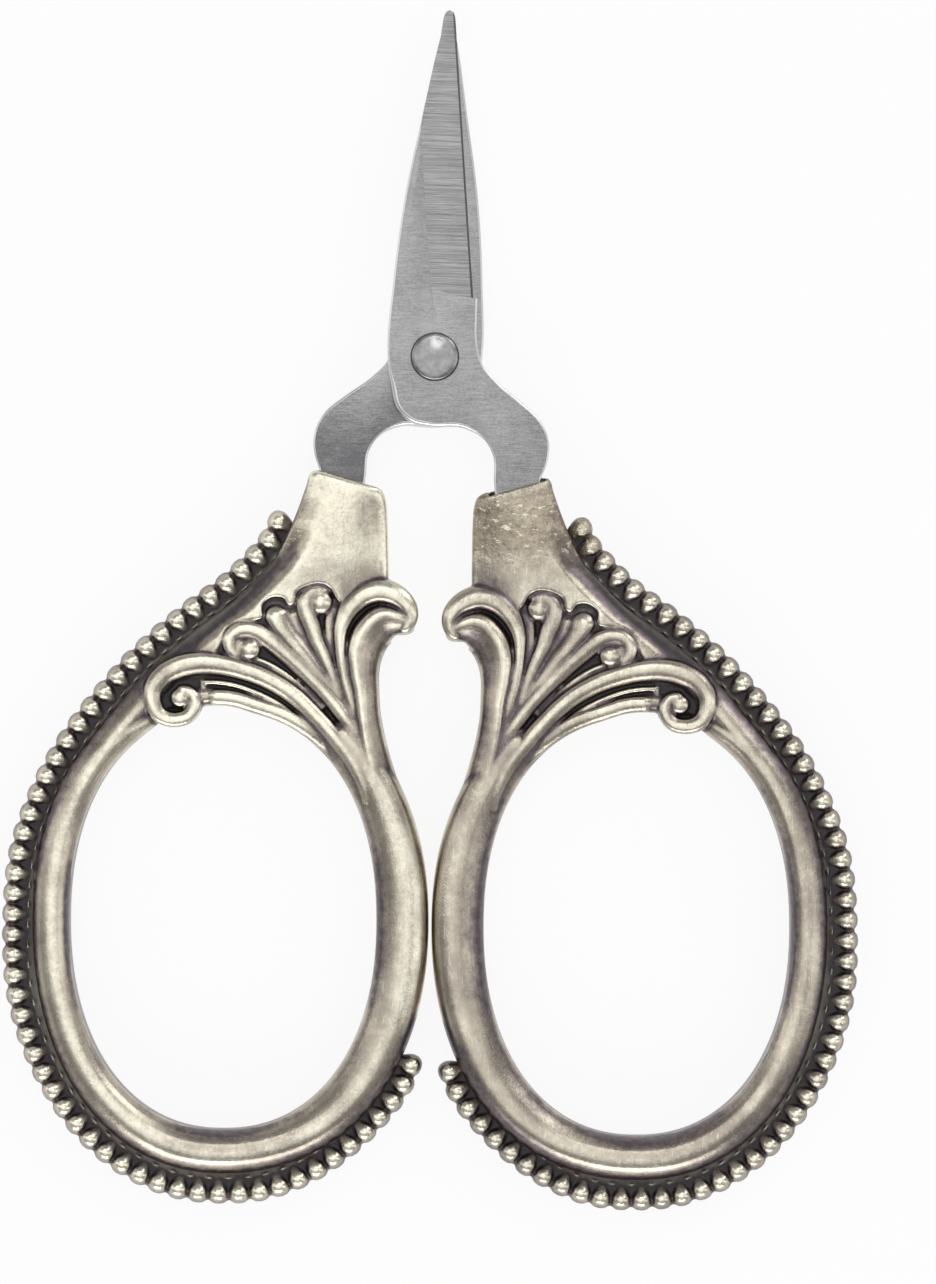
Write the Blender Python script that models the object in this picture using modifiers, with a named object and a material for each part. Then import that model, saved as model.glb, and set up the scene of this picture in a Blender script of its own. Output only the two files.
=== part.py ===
"""Embroidery scissors with cast handles that carry scrolled leaves and a beaded edge.

Two identical steel stampings cross at a rivet, the rear one being the front one turned
over about Y. The tang of each sits in the socket of a cast handle, and the two handles
are the same casting, also turned over. Metres, +Z up, blades towards +Y, and the origin
is at the centre of the underside of the closed scissors.
"""

import math

import bmesh
import bpy
from mathutils import Matrix, Vector
from mathutils.geometry import interpolate_bezier

# Stamping: drawn closed, with the pivot at the origin and the blade along +Y
BLADE_LENGTH = 0.0172
BLADE_HALF_WIDTH = 0.00233
BLADE_THICKNESS = 0.001
BLADE_GAP = 0.00004
BLADE_EDGE_ROUND = 0.0001
GRIND_WIDTH = 0.00225
GRIND_FOOT_SLOPE = math.radians(16)
EDGE_LAND = 0.00012
TANG_OUT = 0.00438
TANG_DROP = 0.00638
TANG_WIDTH = 0.00232
TANG_LENGTH = 0.004
TANG_ANGLE = math.radians(6)
SHANK_STRAIGHT = 0.0005
LEAN = math.radians(2.2)

# Rivet
RIVET_RADIUS = 0.00075
RIVET_HEAD_RADIUS = 0.0012
RIVET_HEAD_HEIGHT = 0.00032
RIVET_TAIL_RADIUS = 0.0011
RIVET_CLEARANCE = 0.00005
RIVET_SEAT_GAP = 0.00003

# Casting: the finger loop's opening is a superellipse, and the neck runs from it to the mouth
HANDLE_THICKNESS = 0.003
OPENING_HALF_WIDTH = 0.00757
OPENING_HALF_LENGTH = 0.01032
OPENING_FULLNESS = 2.2
NECK_LENGTH = 0.0113
RING_WIDTH_OUTER = 0.00185
RING_WIDTH_BOTTOM = 0.0022
RING_WIDTH_INNER = 0.0026
RING_WIDTH_TOP = 0.001
RING_TOP_THICKNESS = 0.0022
RING_GAP = 0.00012
WEB_THICKNESS = 0.0018
WEB_BEVEL = 0.0002
BAND_WIDTH = 0.00085
RIM_THICKNESS = 0.0008
RIM_DEPTH = 0.0016
BEAD_PITCH = 0.00104
BEAD_WIDTH = 0.00112
BEAD_HEIGHT = 0.0017
BEAD_STEP = 0.00103
BEAD_WAIST = 0.55
SCROLL_WIDTH = 0.00086
RELIEF_THICKNESS = 0.0027
MOUTH_WIDTH = 0.0041
MOUTH_TILT = math.radians(15)
COLLAR_WIDTH = 0.0046
COLLAR_CORNER = 0.0009
COLLAR_STEP = 0.0015
SOCKET_CLEARANCE = 0.00012

RING_SECTIONS = 36
RING_SIDES = 8
STRAND_SIDES = 6
BEAD_SECTIONS = 4
RAIL_END = math.radians(-146)
RAIL_FADE = math.radians(10)


def collection(name, parent=None):
    """A new collection, in the scene or in another collection."""
    made = bpy.data.collections.new(name)
    (parent or bpy.context.scene.collection).children.link(made)
    return made


def add_object(name, mesh, where):
    made = bpy.data.objects.new(name, mesh)
    where.objects.link(made)
    return made


def add_cutter(name, mesh):
    """An object that only shapes others: drawn as wire and never rendered."""
    made = add_object(name, mesh, bpy.data.collections["cutters"])
    made.display_type = "WIRE"
    made.hide_render = True
    return made


def add_boolean(target, operation, tool):
    """A Boolean with one object, or with every object of a collection."""
    modifier = target.modifiers.new(tool.name, "BOOLEAN")
    modifier.operation = operation
    modifier.solver = "EXACT"
    if isinstance(tool, bpy.types.Collection):
        modifier.operand_type = "COLLECTION"
        modifier.collection = tool
    else:
        modifier.object = tool


def evaluated_mesh(source):
    """A copy of the object's mesh with its modifiers applied."""
    bpy.context.view_layer.update()
    graph = bpy.context.evaluated_depsgraph_get()
    return bpy.data.meshes.new_from_object(source.evaluated_get(graph))


def metal(name, colour, roughness):
    made = bpy.data.materials.new(name)
    made.use_nodes = True
    shader = made.node_tree.nodes["Principled BSDF"]
    shader.inputs["Base Color"].default_value = (*colour, 1.0)
    shader.inputs["Metallic"].default_value = 1.0
    shader.inputs["Roughness"].default_value = roughness
    made.diffuse_color = (*colour, 1.0)
    return made


def evenly(points, count):
    """The given number of points, spaced evenly along a dense line of points."""
    reach = [0.0]
    for start, end in zip(points, points[1:]):
        reach.append(reach[-1] + (end - start).length)
    spaced = []
    span = 0
    for i in range(count):
        wanted = reach[-1] * i / (count - 1)
        while span < len(points) - 2 and reach[span + 1] < wanted:
            span += 1
        share = (wanted - reach[span]) / (reach[span + 1] - reach[span])
        spaced.append(points[span].lerp(points[span + 1], share))
    return spaced


def smooth_line(knots, fineness=16):
    """A dense line of points on a smooth curve through the knots."""
    ends = [2 * knots[0] - knots[1], *knots, 2 * knots[-1] - knots[-2]]
    line = [knots[0]]
    for before, start, end, after in zip(ends, ends[1:], ends[2:], ends[3:]):
        pull = (end - start).length / 3
        leaving = start + (end - before).normalized() * pull
        arriving = end - (after - start).normalized() * pull
        line += interpolate_bezier(start, leaving, arriving, end, fineness)[1:]
    return line


def directions(points):
    """The unit direction of travel at each point of a line in the XY plane."""
    ahead = [*points[1:], 2 * points[-1] - points[-2]]
    behind = [2 * points[0] - points[1], *points[:-1]]
    return [(end - start).to_2d().normalized() for start, end in zip(behind, ahead)]


def plate(name, outline, thickness):
    """A flat mesh of the outline, centred on Z = 0, filled and capped by a 2D curve."""
    curve = bpy.data.curves.new(name, "CURVE")
    curve.dimensions = "2D"
    curve.fill_mode = "BOTH"
    curve.extrude = thickness / 2
    spline = curve.splines.new("POLY")
    spline.points.add(len(outline) - 1)
    for point, corner in zip(spline.points, outline):
        point.co = (corner.x, corner.y, 0.0, 1.0)
    spline.use_cyclic_u = True
    guide = bpy.data.objects.new(name, curve)
    bpy.context.scene.collection.objects.link(guide)
    mesh = evaluated_mesh(guide)
    bpy.data.objects.remove(guide)
    shape = bmesh.new()
    shape.from_mesh(mesh)
    bmesh.ops.remove_doubles(shape, verts=shape.verts, dist=1e-7)
    bmesh.ops.recalc_face_normals(shape, faces=shape.faces)
    shape.to_mesh(mesh)
    shape.free()
    return mesh


def bevelled(mesh, width):
    """The plate with its upper and lower rims broken, so that its sides slope away."""
    shape = bmesh.new()
    shape.from_mesh(mesh)
    join_flat_faces(shape)
    rims = [edge for edge in shape.edges if on_rim(edge)]
    bmesh.ops.bevel(shape, geom=rims, offset=width, segments=1, affect="EDGES")
    shape.to_mesh(mesh)
    shape.free()
    return mesh


def join_flat_faces(shape):
    """Makes one face of each level side, so that a bevel of its rim can't fold it over."""
    for side in (1, -1):
        level = [face for face in shape.faces if face.normal.z * side > 0.99]
        bmesh.ops.dissolve_faces(shape, faces=level)


def on_rim(edge):
    """True for an edge between a face that lies flat and one that stands up."""
    flat = [abs(face.normal.z) > 0.5 for face in edge.link_faces]
    return sorted(flat) == [False, True]


def loft(name, sections, closed=False):
    """A body through rings of points that differ from one section to the next."""
    shape = bmesh.new()
    rings = [[shape.verts.new(point) for point in section] for section in sections]
    if closed:
        rings.append(rings[0])
    else:
        shape.faces.new(rings[0])
        shape.faces.new(rings[-1])
    for near, far in zip(rings, rings[1:]):
        for i in range(len(near)):
            shape.faces.new((near[i - 1], near[i], far[i], far[i - 1]))
    bmesh.ops.recalc_face_normals(shape, faces=shape.faces)
    mesh = bpy.data.meshes.new(name)
    shape.to_mesh(mesh)
    shape.free()
    return mesh


def fuller(value, fullness):
    """A sine or cosine pushed outwards, which turns an ellipse into a superellipse."""
    return math.copysign(abs(value) ** (2 / fullness), value)


def oval(centre, across, half_width, half_height, sides, fullness=2.0, offset=0.0):
    """Points round an upright oval that faces along a line in the XY plane."""
    points = []
    for i in range(sides):
        turn = math.tau * (i + offset) / sides
        sideways = half_width * fuller(math.cos(turn), fullness)
        upwards = half_height * fuller(math.sin(turn), fullness)
        points.append((centre.to_2d() + across * sideways).to_3d() + Vector((0, 0, upwards)))
    return points


def smooth_shaded(mesh, angle=math.radians(35)):
    mesh.shade_smooth()
    mesh.set_sharp_from_angle(angle=angle)
    return mesh


def blade_point(across, along):
    """A point of the blade, as shares of its half width and its length."""
    return Vector((across * BLADE_HALF_WIDTH, along * BLADE_LENGTH))


def shank_point(out, down):
    """A point below the pivot, as shares of the way to the middle of the tang's root."""
    return Vector((out * TANG_OUT, -down * TANG_DROP))


def tang_frame():
    """The middle of the tang's root, the way along the tang and the way across it."""
    along = Vector((math.sin(TANG_ANGLE), -math.cos(TANG_ANGLE)))
    return Vector((TANG_OUT, -TANG_DROP)), along, Vector((-along.y, along.x))


TIP = blade_point(0.0, 1.0)
EDGE_FOOT = blade_point(0.683, 0.198)


def stamping_outline():
    root, along, across = tang_frame()
    side = across * TANG_WIDTH / 2
    outer_root = root + side - along * SHANK_STRAIGHT
    inner_root = root - side - along * SHANK_STRAIGHT
    edge = [TIP, blade_point(0.091, 0.881), blade_point(0.2, 0.734), blade_point(0.422, 0.505), EDGE_FOOT]
    outer = [
        blade_point(0.861, 0.174),
        blade_point(0.855, 0.06),
        shank_point(0.54, 0.045),
        shank_point(0.7, 0.165),
        shank_point(0.985, 0.315),
        shank_point(1.215, 0.455),
        shank_point(1.33, 0.64),
        shank_point(1.31, 0.8),
        outer_root,
    ]
    inner = [
        inner_root,
        shank_point(0.7, 0.74),
        shank_point(0.59, 0.62),
        shank_point(0.36, 0.542),
        shank_point(-0.02, 0.541),
        shank_point(-0.225, 0.518),
        shank_point(-0.395, 0.425),
        shank_point(-0.485, 0.22),
        blade_point(-1.0, 0.0),
        blade_point(-0.948, 0.209),
        blade_point(-0.787, 0.452),
        blade_point(-0.439, 0.734),
        blade_point(-0.087, 0.975),
        TIP,
    ]
    tang_end = root + along * TANG_LENGTH
    return [
        *evenly(smooth_line(edge), 9),
        *evenly(smooth_line(outer), 26),
        tang_end + side,
        tang_end - side,
        *evenly(smooth_line(inner), 44)[:-1],
    ]


def grind_cutter():
    """The wedge that grinding takes off the outside of the blade, down to its edge."""
    edge = TIP - EDGE_FOOT
    length = 1.3 * edge.length
    width = 3 * GRIND_WIDTH
    drop = width * math.tan(GRIND_FOOT_SLOPE)
    outline = [
        Vector((BLADE_HALF_WIDTH, -BLADE_HALF_WIDTH * math.tan(GRIND_FOOT_SLOPE))),
        Vector((BLADE_HALF_WIDTH, length)),
        Vector((-width, length)),
        Vector((-width, drop)),
    ]
    height = 2 * BLADE_THICKNESS
    mesh = plate("grind_cutter", outline, height)
    pitch = math.atan2(BLADE_THICKNESS - EDGE_LAND, GRIND_WIDTH)
    mesh.transform(
        Matrix.Translation((EDGE_FOOT.x, EDGE_FOOT.y, BLADE_GAP / 2 + EDGE_LAND))
        @ Matrix.Rotation(edge.angle_signed(Vector((0, 1))), 4, "Z")
        @ Matrix.Rotation(pitch, 4, "Y")
        @ Matrix.Translation((0, 0, height / 2))
    )
    return add_cutter("grind_cutter", mesh)


def hole_cutter():
    shape = bmesh.new()
    radius = RIVET_RADIUS + RIVET_CLEARANCE
    bmesh.ops.create_cone(
        shape, cap_ends=True, segments=32, radius1=radius, radius2=radius, depth=6 * BLADE_THICKNESS
    )
    mesh = bpy.data.meshes.new("hole_cutter")
    shape.to_mesh(mesh)
    shape.free()
    return add_cutter("hole_cutter", mesh)


def round_outer_edges(shape):
    """Breaks the sharp edges of the outer face, which the grinding later cuts through."""
    rim = [edge for edge in shape.edges if on_rim(edge) and edge.verts[0].co.z > BLADE_THICKNESS / 2]
    bmesh.ops.bevel(shape, geom=rim, offset=BLADE_EDGE_ROUND, segments=1, affect="EDGES")


def build_stamping():
    """The front stamping's mesh: its flat inside face is half the gap above Z = 0."""
    mesh = plate("stamping", stamping_outline(), BLADE_THICKNESS)
    mesh.transform(Matrix.Translation((0, 0, (BLADE_GAP + BLADE_THICKNESS) / 2)))
    shape = bmesh.new()
    shape.from_mesh(mesh)
    round_outer_edges(shape)
    shape.to_mesh(mesh)
    shape.free()
    blank = add_cutter("stamping_blank", mesh)
    add_boolean(blank, "DIFFERENCE", grind_cutter())
    add_boolean(blank, "DIFFERENCE", hole_cutter())
    return smooth_shaded(evaluated_mesh(blank))


def build_rivet():
    """The rivet's mesh: a turned profile, headed in front and peened behind."""
    seat = BLADE_GAP / 2 + BLADE_THICKNESS + RIVET_SEAT_GAP
    crown = RIVET_HEAD_HEIGHT / 4
    profile = [
        (0.0, seat + RIVET_HEAD_HEIGHT),
        (0.55 * RIVET_HEAD_RADIUS, seat + RIVET_HEAD_HEIGHT - crown / 4),
        (0.85 * RIVET_HEAD_RADIUS, seat + RIVET_HEAD_HEIGHT - crown),
        (RIVET_HEAD_RADIUS, seat + RIVET_HEAD_HEIGHT - 2 * crown),
        (RIVET_HEAD_RADIUS, seat),
        (RIVET_RADIUS, seat),
        (RIVET_RADIUS, -seat),
        (RIVET_TAIL_RADIUS, -seat),
        (0.85 * RIVET_TAIL_RADIUS, -seat - RIVET_HEAD_HEIGHT + crown),
        (0.0, -seat - RIVET_HEAD_HEIGHT),
    ]
    mesh = bpy.data.meshes.new("rivet_profile")
    edges = [(i, i + 1) for i in range(len(profile) - 1)]
    mesh.from_pydata([(radius, 0, height) for radius, height in profile], edges, [])
    blank = add_cutter("rivet_profile", mesh)
    turned = blank.modifiers.new("turned", "SCREW")
    turned.steps = 32
    turned.render_steps = 32
    turned.use_merge_vertices = True
    turned.merge_threshold = 1e-6
    return smooth_shaded(evaluated_mesh(blank))


def by_side(normal, outer, bottom, inner, top):
    """A size that varies round the ring, by which way its outer wall faces."""
    level = outer if normal.x > 0 else inner
    share = normal.y**4 if normal.y > 0 else normal.y**2
    upright = top if normal.y > 0 else bottom
    return level + (upright - level) * share


def ring_place(turn):
    """A point on the edge of the opening, and the way out from it."""
    across = fuller(math.cos(turn), OPENING_FULLNESS)
    along = fuller(math.sin(turn), OPENING_FULLNESS)
    steep = OPENING_FULLNESS - 1
    normal = Vector((
        math.copysign(abs(across) ** steep, across) / OPENING_HALF_WIDTH,
        math.copysign(abs(along) ** steep, along) / OPENING_HALF_LENGTH,
    ))
    return Vector((across * OPENING_HALF_WIDTH, along * OPENING_HALF_LENGTH)), normal.normalized()


def ring_width(normal):
    return by_side(normal, RING_WIDTH_OUTER, RING_WIDTH_BOTTOM, RING_WIDTH_INNER, RING_WIDTH_TOP)


def ring_middle(turn, share=0.5):
    """A point inside the ring, at a share of its width from the opening."""
    flat, normal = ring_place(turn)
    return flat + normal * ring_width(normal) * share


def arc(start, end, count):
    return [start + (end - start) * i / (count - 1) for i in range(count)]


def neck_point(across, up, *more):
    """A point above the opening, as shares of its half width and of the neck."""
    return Vector((across * OPENING_HALF_WIDTH, OPENING_HALF_LENGTH + up * NECK_LENGTH, *more))


def rail_line():
    """The line of the beads' centres: down the neck's outer side and round the ring."""
    neck = [
        neck_point(-0.43, 0.862),
        neck_point(-0.12, 0.618),
        neck_point(0.194, 0.471),
        neck_point(0.5, 0.292),
        neck_point(0.778, 0.094),
        neck_point(1.017, -0.118),
        neck_point(1.205, -0.354),
    ]
    round_ring = []
    for turn in arc(math.radians(18), RAIL_END, 18):
        flat, normal = ring_place(turn)
        round_ring.append(flat + normal * (ring_width(normal) + BEAD_STEP))
    return smooth_line([*neck, *round_ring])


def beside(line, distance):
    """The line moved sideways: away from the opening where the distance is positive."""
    return [
        point + Vector((-way.y, way.x)) * distance for point, way in zip(line, directions(line))
    ]


def collar_sections():
    """Rounded sections from the slanted mouth down into the web under the leaves."""
    mouth = mouth_place()
    full = HANDLE_THICKNESS
    shapes = [
        (mouth, MOUTH_WIDTH, full, MOUTH_TILT),
        (mouth - Vector((0, COLLAR_STEP)), 0.94 * COLLAR_WIDTH, full, MOUTH_TILT / 2),
        (mouth - Vector((0, 2 * COLLAR_STEP)), COLLAR_WIDTH, full, 0.0),
        (neck_point(-0.66, 0.6), 1.38 * COLLAR_WIDTH, 0.9 * full, 0.0),
        (neck_point(-0.54, 0.46), 1.76 * COLLAR_WIDTH, 0.76 * full, 0.0),
        (neck_point(-0.43, 0.32), 2.1 * COLLAR_WIDTH, 0.57 * full, 0.0),
    ]
    sections = []
    for centre, width, thickness, tilt in shapes:
        across = Vector((math.cos(tilt), math.sin(tilt)))
        corner = min(COLLAR_CORNER, 0.45 * thickness)
        section = []
        for quarter in range(4):
            side = (1, -1, -1, 1)[quarter]
            face = (1, 1, -1, -1)[quarter]
            for i in range(5):
                turn = math.tau * (quarter + i / 4) / 4
                sideways = side * (width / 2 - corner) + corner * math.cos(turn)
                upwards = face * (thickness / 2 - corner) + corner * math.sin(turn)
                section.append((centre + across * sideways).to_3d() + Vector((0, 0, upwards)))
        sections.append(section)
    return sections


def mouth_place():
    """The middle of the collar's mouth, seen from the middle of the finger loop."""
    span = OPENING_HALF_WIDTH + RING_WIDTH_INNER + RING_GAP / 2
    return Vector((TANG_OUT * math.cos(LEAN) - span, OPENING_HALF_LENGTH + NECK_LENGTH))


def strand(name, knots, thickness, count):
    """A raised strand that stands out of both faces. A knot's third share is its width."""
    knots = [neck_point(across, up, share * SCROLL_WIDTH / 2) for across, up, share in knots]
    line = evenly(smooth_line(knots), count)
    sections = []
    for point, way in zip(line, directions(line)):
        across = Vector((way.y, -way.x))
        sections.append(oval(point, across, point.z, thickness / 2, STRAND_SIDES, 3.2, 0.5))
    return loft(name, sections)


def ball(name, place, size):
    """A ball stretched to the given size, which shows on both faces of the casting."""
    shape = bmesh.new()
    bmesh.ops.create_uvsphere(shape, u_segments=8, v_segments=6, radius=0.5)
    mesh = bpy.data.meshes.new(name)
    shape.to_mesh(mesh)
    shape.free()
    stretch = Matrix.Diagonal((*size, 1.0))
    mesh.transform(Matrix.Translation(place.to_3d()) @ stretch)
    return mesh


def ring_body():
    sections = []
    for i in range(RING_SECTIONS):
        turn = math.tau * i / RING_SECTIONS
        _, normal = ring_place(turn)
        full = HANDLE_THICKNESS / 2
        half_height = by_side(normal, full, full, full, RING_TOP_THICKNESS / 2)
        centre = ring_middle(turn)
        sections.append(oval(centre, normal, ring_width(normal) / 2, half_height, RING_SIDES, 2.2))
    return loft("ring", sections, closed=True)


def web_body(rail):
    """The flat web behind the leaves, from the band along the beads to the ring."""
    top = neck_point(0.0, 0.78).y
    bottom = 0.3 * OPENING_HALF_LENGTH
    neck_rail = [point for point in rail if bottom < point.y < top]
    over_top = [ring_middle(turn, 0.3) for turn in arc(math.radians(2), math.radians(150), 18)]
    inner_side = [
        neck_point(-0.95, 0.0),
        neck_point(-0.94, 0.2),
        neck_point(-1.1, 0.36),
        neck_point(-1.16, 0.43),
        neck_point(-1.12, 0.49),
        neck_point(-0.95, 0.54),
        neck_point(-0.85, 0.75),
    ]
    outline = [*evenly(beside(neck_rail, -BAND_WIDTH), 20), *over_top, *inner_side]
    return bevelled(plate("web", outline, WEB_THICKNESS), WEB_BEVEL)


def rim_section(place, way, swell):
    """A slice across the beaded rim: its root first, the bead's two faces, the root again."""
    half_width = BEAD_WIDTH / 2 * (BEAD_WAIST + (1 - BEAD_WAIST) * swell)
    half_height = BEAD_HEIGHT / 2 * (BEAD_WAIST + (1 - BEAD_WAIST) * swell)
    face = [
        (-RIM_DEPTH, RIM_THICKNESS / 2),
        (-half_width, RIM_THICKNESS / 2),
        (-0.15 * half_width, half_height),
        (half_width, 0.45 * half_height),
    ]
    back = [(out, -up) for out, up in reversed(face)]
    away = Vector((-way.y, way.x))
    return [(place + away * out).to_3d() + Vector((0, 0, up)) for out, up in face + back]


def beaded_rim(rail):
    """The thin rim outside the ring, which swells into a bead at each even step of the rail."""
    length = sum((end - start).length for start, end in zip(rail, rail[1:]))
    line = evenly(rail, BEAD_SECTIONS * round(length / BEAD_PITCH) + 1)
    swells = [math.sin(math.pi * i / BEAD_SECTIONS) ** 0.6 for i in range(BEAD_SECTIONS)]
    sections = [rim_section(neck_point(-0.6, 0.85), directions(line)[0], 0.0)]
    for i, (place, way) in enumerate(zip(line, directions(line))):
        sections.append(rim_section(place, way, swells[i % BEAD_SECTIONS]))
    end, normal = ring_place(RAIL_END - RAIL_FADE)
    buried = end + normal * (ring_width(normal) - BEAD_WIDTH / 2)
    sections.append(rim_section(buried, Vector((normal.y, -normal.x)), 0.0))
    return loft("beaded_rim", sections)


def leaf_bodies():
    """The scrolls, curls and leaf that fan out over the finger loop."""
    scroll = [
        (-0.947, -0.371, 0.7), (-0.809, -0.21, 0.85), (-0.605, -0.04, 0.95), (-0.329, 0.103, 1.0),
        (0.02, 0.198, 1.05), (0.197, 0.21, 1.05), (0.355, 0.175, 1.0), (0.447, 0.094, 0.95),
        (0.454, 0.022, 0.9), (0.395, -0.031, 0.85), (0.303, -0.045, 0.8), (0.211, -0.018, 0.75),
        (0.178, 0.031, 0.75), (0.217, 0.072, 0.75), (0.28, 0.076, 0.7),
    ]
    volute = [
        (-0.74, 0.02, 0.5), (-0.525, 0.149, 0.8), (-0.379, 0.228, 0.9), (-0.263, 0.303, 1.0),
        (-0.184, 0.352, 0.95), (-0.097, 0.353, 0.85), (-0.039, 0.325, 0.75), (-0.036, 0.285, 0.65),
        (-0.078, 0.254, 0.6),
    ]
    leaf_end = [(-0.76, 0.04, 0.4), (-0.67, 0.138, 0.7), (-0.525, 0.287, 1.0), (-0.35, 0.447, 1.35)]
    curl = [
        (-0.74, 0.07, 0.4), (-0.67, 0.177, 0.6), (-0.583, 0.347, 0.8), (-0.542, 0.422, 0.9),
        (-0.525, 0.48, 0.85), (-0.547, 0.52, 0.75), (-0.599, 0.526, 0.6),
    ]
    hood = [
        (-0.8, -0.03, 0.6), (-0.79, 0.157, 0.95), (-0.775, 0.291, 1.05), (-0.795, 0.398, 1.15),
        (-0.847, 0.488, 1.2), (-0.932, 0.535, 1.3), (-1.05, 0.549, 1.3), (-1.17, 0.517, 1.25),
        (-1.225, 0.435, 1.15), (-1.19, 0.37, 0.9),
    ]
    lobe = [
        (-1.11, 0.4, 1.6), (-1.03, 0.38, 1.9), (-0.96, 0.3, 2.0), (-0.92, 0.21, 1.8), (-0.935, 0.085, 1.6),
        (-0.955, -0.04, 1.6), (-1.0, -0.166, 1.6), (-1.05, -0.3, 1.7), (-1.12, -0.43, 1.8), (-1.17, -0.55, 1.8),
    ]
    stem = [
        (-0.65, 0.19, 0.8), (-0.74, 0.075, 1.3), (-0.83, -0.04, 1.8), (-0.91, -0.166, 2.1), (-1.0, -0.31, 2.3),
        (-1.07, -0.47, 2.3),
    ]
    under_rib = [
        (0.18, 0.125, 0.3), (0.06, 0.12, 0.4), (-0.15, 0.1, 0.4), (-0.39, 0.035, 0.4), (-0.56, -0.07, 0.3),
    ]
    head = Vector((1.4 * SCROLL_WIDTH, 1.4 * SCROLL_WIDTH, 1.02 * RELIEF_THICKNESS))
    return [
        strand("scroll", scroll, 1.1 * RELIEF_THICKNESS, 26),
        strand("volute", volute, RELIEF_THICKNESS, 14),
        strand("leaf_end", leaf_end, 0.94 * RELIEF_THICKNESS, 5),
        strand("curl", curl, 0.97 * RELIEF_THICKNESS, 10),
        strand("hood", hood, 1.05 * RELIEF_THICKNESS, 14),
        strand("lobe", lobe, 1.08 * RELIEF_THICKNESS, 11),
        strand("stem", stem, 0.91 * RELIEF_THICKNESS, 6),
        strand("under_rib", under_rib, 0.8 * RELIEF_THICKNESS, 5),
        ball("volute_head", neck_point(-0.162, 0.272), head),
        ball("curl_head", neck_point(-0.625, 0.478), head),
        ball("leaf_head", neck_point(-0.36, 0.438), head),
    ]


def build_casting():
    """The casting's mesh, with the origin in the middle of the finger loop and +X outwards."""
    rail = rail_line()
    forms = collection("casting_forms", bpy.data.collections["cutters"])
    bodies = [web_body(rail), beaded_rim(rail), loft("collar", collar_sections()), *leaf_bodies()]
    for mesh in bodies:
        form = add_object(mesh.name, mesh, forms)
        form.display_type = "WIRE"
        form.hide_render = True
    blank = add_cutter("casting_blank", ring_body())
    add_boolean(blank, "UNION", forms)
    return smooth_shaded(evaluated_mesh(blank))


def socket_cutter(name):
    """The tang with its clearance, a little longer both ways, in the stamping's place."""
    root, along, across = tang_frame()
    shape = bmesh.new()
    bmesh.ops.create_cube(shape, size=1.0)
    mesh = bpy.data.meshes.new(name)
    shape.to_mesh(mesh)
    shape.free()
    deep = TANG_LENGTH + SOCKET_CLEARANCE
    middle = (root + along * (deep - MOUTH_WIDTH) / 2).to_3d()
    middle.z = (BLADE_GAP + BLADE_THICKNESS) / 2
    width = TANG_WIDTH + 2 * SOCKET_CLEARANCE
    length = deep + MOUTH_WIDTH
    depth = BLADE_THICKNESS + 2 * SOCKET_CLEARANCE
    mesh.transform(
        Matrix.Translation(middle)
        @ Matrix.Rotation(math.atan2(across.y, across.x), 4, "Z")
        @ Matrix.Diagonal((width, length, depth, 1.0))
    )
    return add_cutter(name, mesh)


def add_arm(side, stamping, casting, parts, colours):
    """One half of the scissors: a blade and its handle, under an empty on the pivot."""
    word = "front" if side > 0 else "rear"
    hand = "right" if side > 0 else "left"
    turned = Matrix.Rotation(0.0 if side > 0 else math.pi, 4, "Y")
    pivot = bpy.data.objects.new(f"{word}_arm", None)
    parts.objects.link(pivot)
    leaning = Matrix.Rotation(-LEAN, 4, "Z") @ turned
    blade = add_object(f"{word}_blade", stamping.copy(), parts)
    blade.matrix_local = leaning
    blade.data.materials.append(metal(f"{word}_steel", *colours["steel"]))
    socket = socket_cutter(f"{hand}_socket")
    socket.matrix_local = leaning
    root = leaning @ tang_frame()[0].to_3d()
    offset = turned.to_3x3() @ -mouth_place().to_3d()
    handle = add_object(f"{hand}_handle", casting.copy(), parts)
    handle.matrix_local = Matrix.Translation(Vector((root.x, root.y, 0)) + offset) @ turned
    handle.data.materials.append(metal(f"{hand}_brass", *colours["brass"]))
    add_boolean(handle, "DIFFERENCE", socket)
    for piece in (blade, socket, handle):
        piece.parent = pivot
    return pivot


def rest_on_origin(arms, parts):
    """Moves the whole so that the origin is at the centre of its underside."""
    bpy.context.view_layer.update()
    graph = bpy.context.evaluated_depsgraph_get()
    corners = []
    for piece in parts.objects:
        if piece.type == "MESH":
            solid = piece.evaluated_get(graph)
            corners += [solid.matrix_world @ vertex.co for vertex in solid.data.vertices]
    low = Vector([min(corner[i] for corner in corners) for i in range(3)])
    high = Vector([max(corner[i] for corner in corners) for i in range(3)])
    for arm in arms:
        arm.location = Vector((-(low.x + high.x) / 2, -(low.y + high.y) / 2, -low.z))


def main():
    for leftover in list(bpy.data.objects):
        bpy.data.objects.remove(leftover)
    parts = collection("embroidery_scissors")
    collection("cutters")
    colours = {"steel": ((0.42, 0.41, 0.4), 0.32), "brass": ((0.4, 0.36, 0.25), 0.36)}
    stamping = build_stamping()
    casting = build_casting()
    front = add_arm(1, stamping, casting, parts, colours)
    rear = add_arm(-1, stamping, casting, parts, colours)
    rivet = add_object("pivot_rivet", build_rivet(), parts)
    rivet.data.materials.append(metal("rivet_steel", *colours["steel"]))
    rivet.parent = rear
    rest_on_origin((front, rear), parts)


main()
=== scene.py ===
"""Looks of the embroidery scissors: two steel stampings, a rivet and two cast, antiqued brass handles.

The casting is modelled once, in millimetres, with the finger opening's centre as origin, +X away
from the other handle and +Y towards the blades. Its faces are alike about Z = 0, apart from the
socket for the tang. The left handle is the same casting turned over. The stamping is modelled
once too, with the pivot as origin, and so is the rivet.
"""

import math

import bpy
import numpy as np
from mathutils import Matrix, Vector


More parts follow.
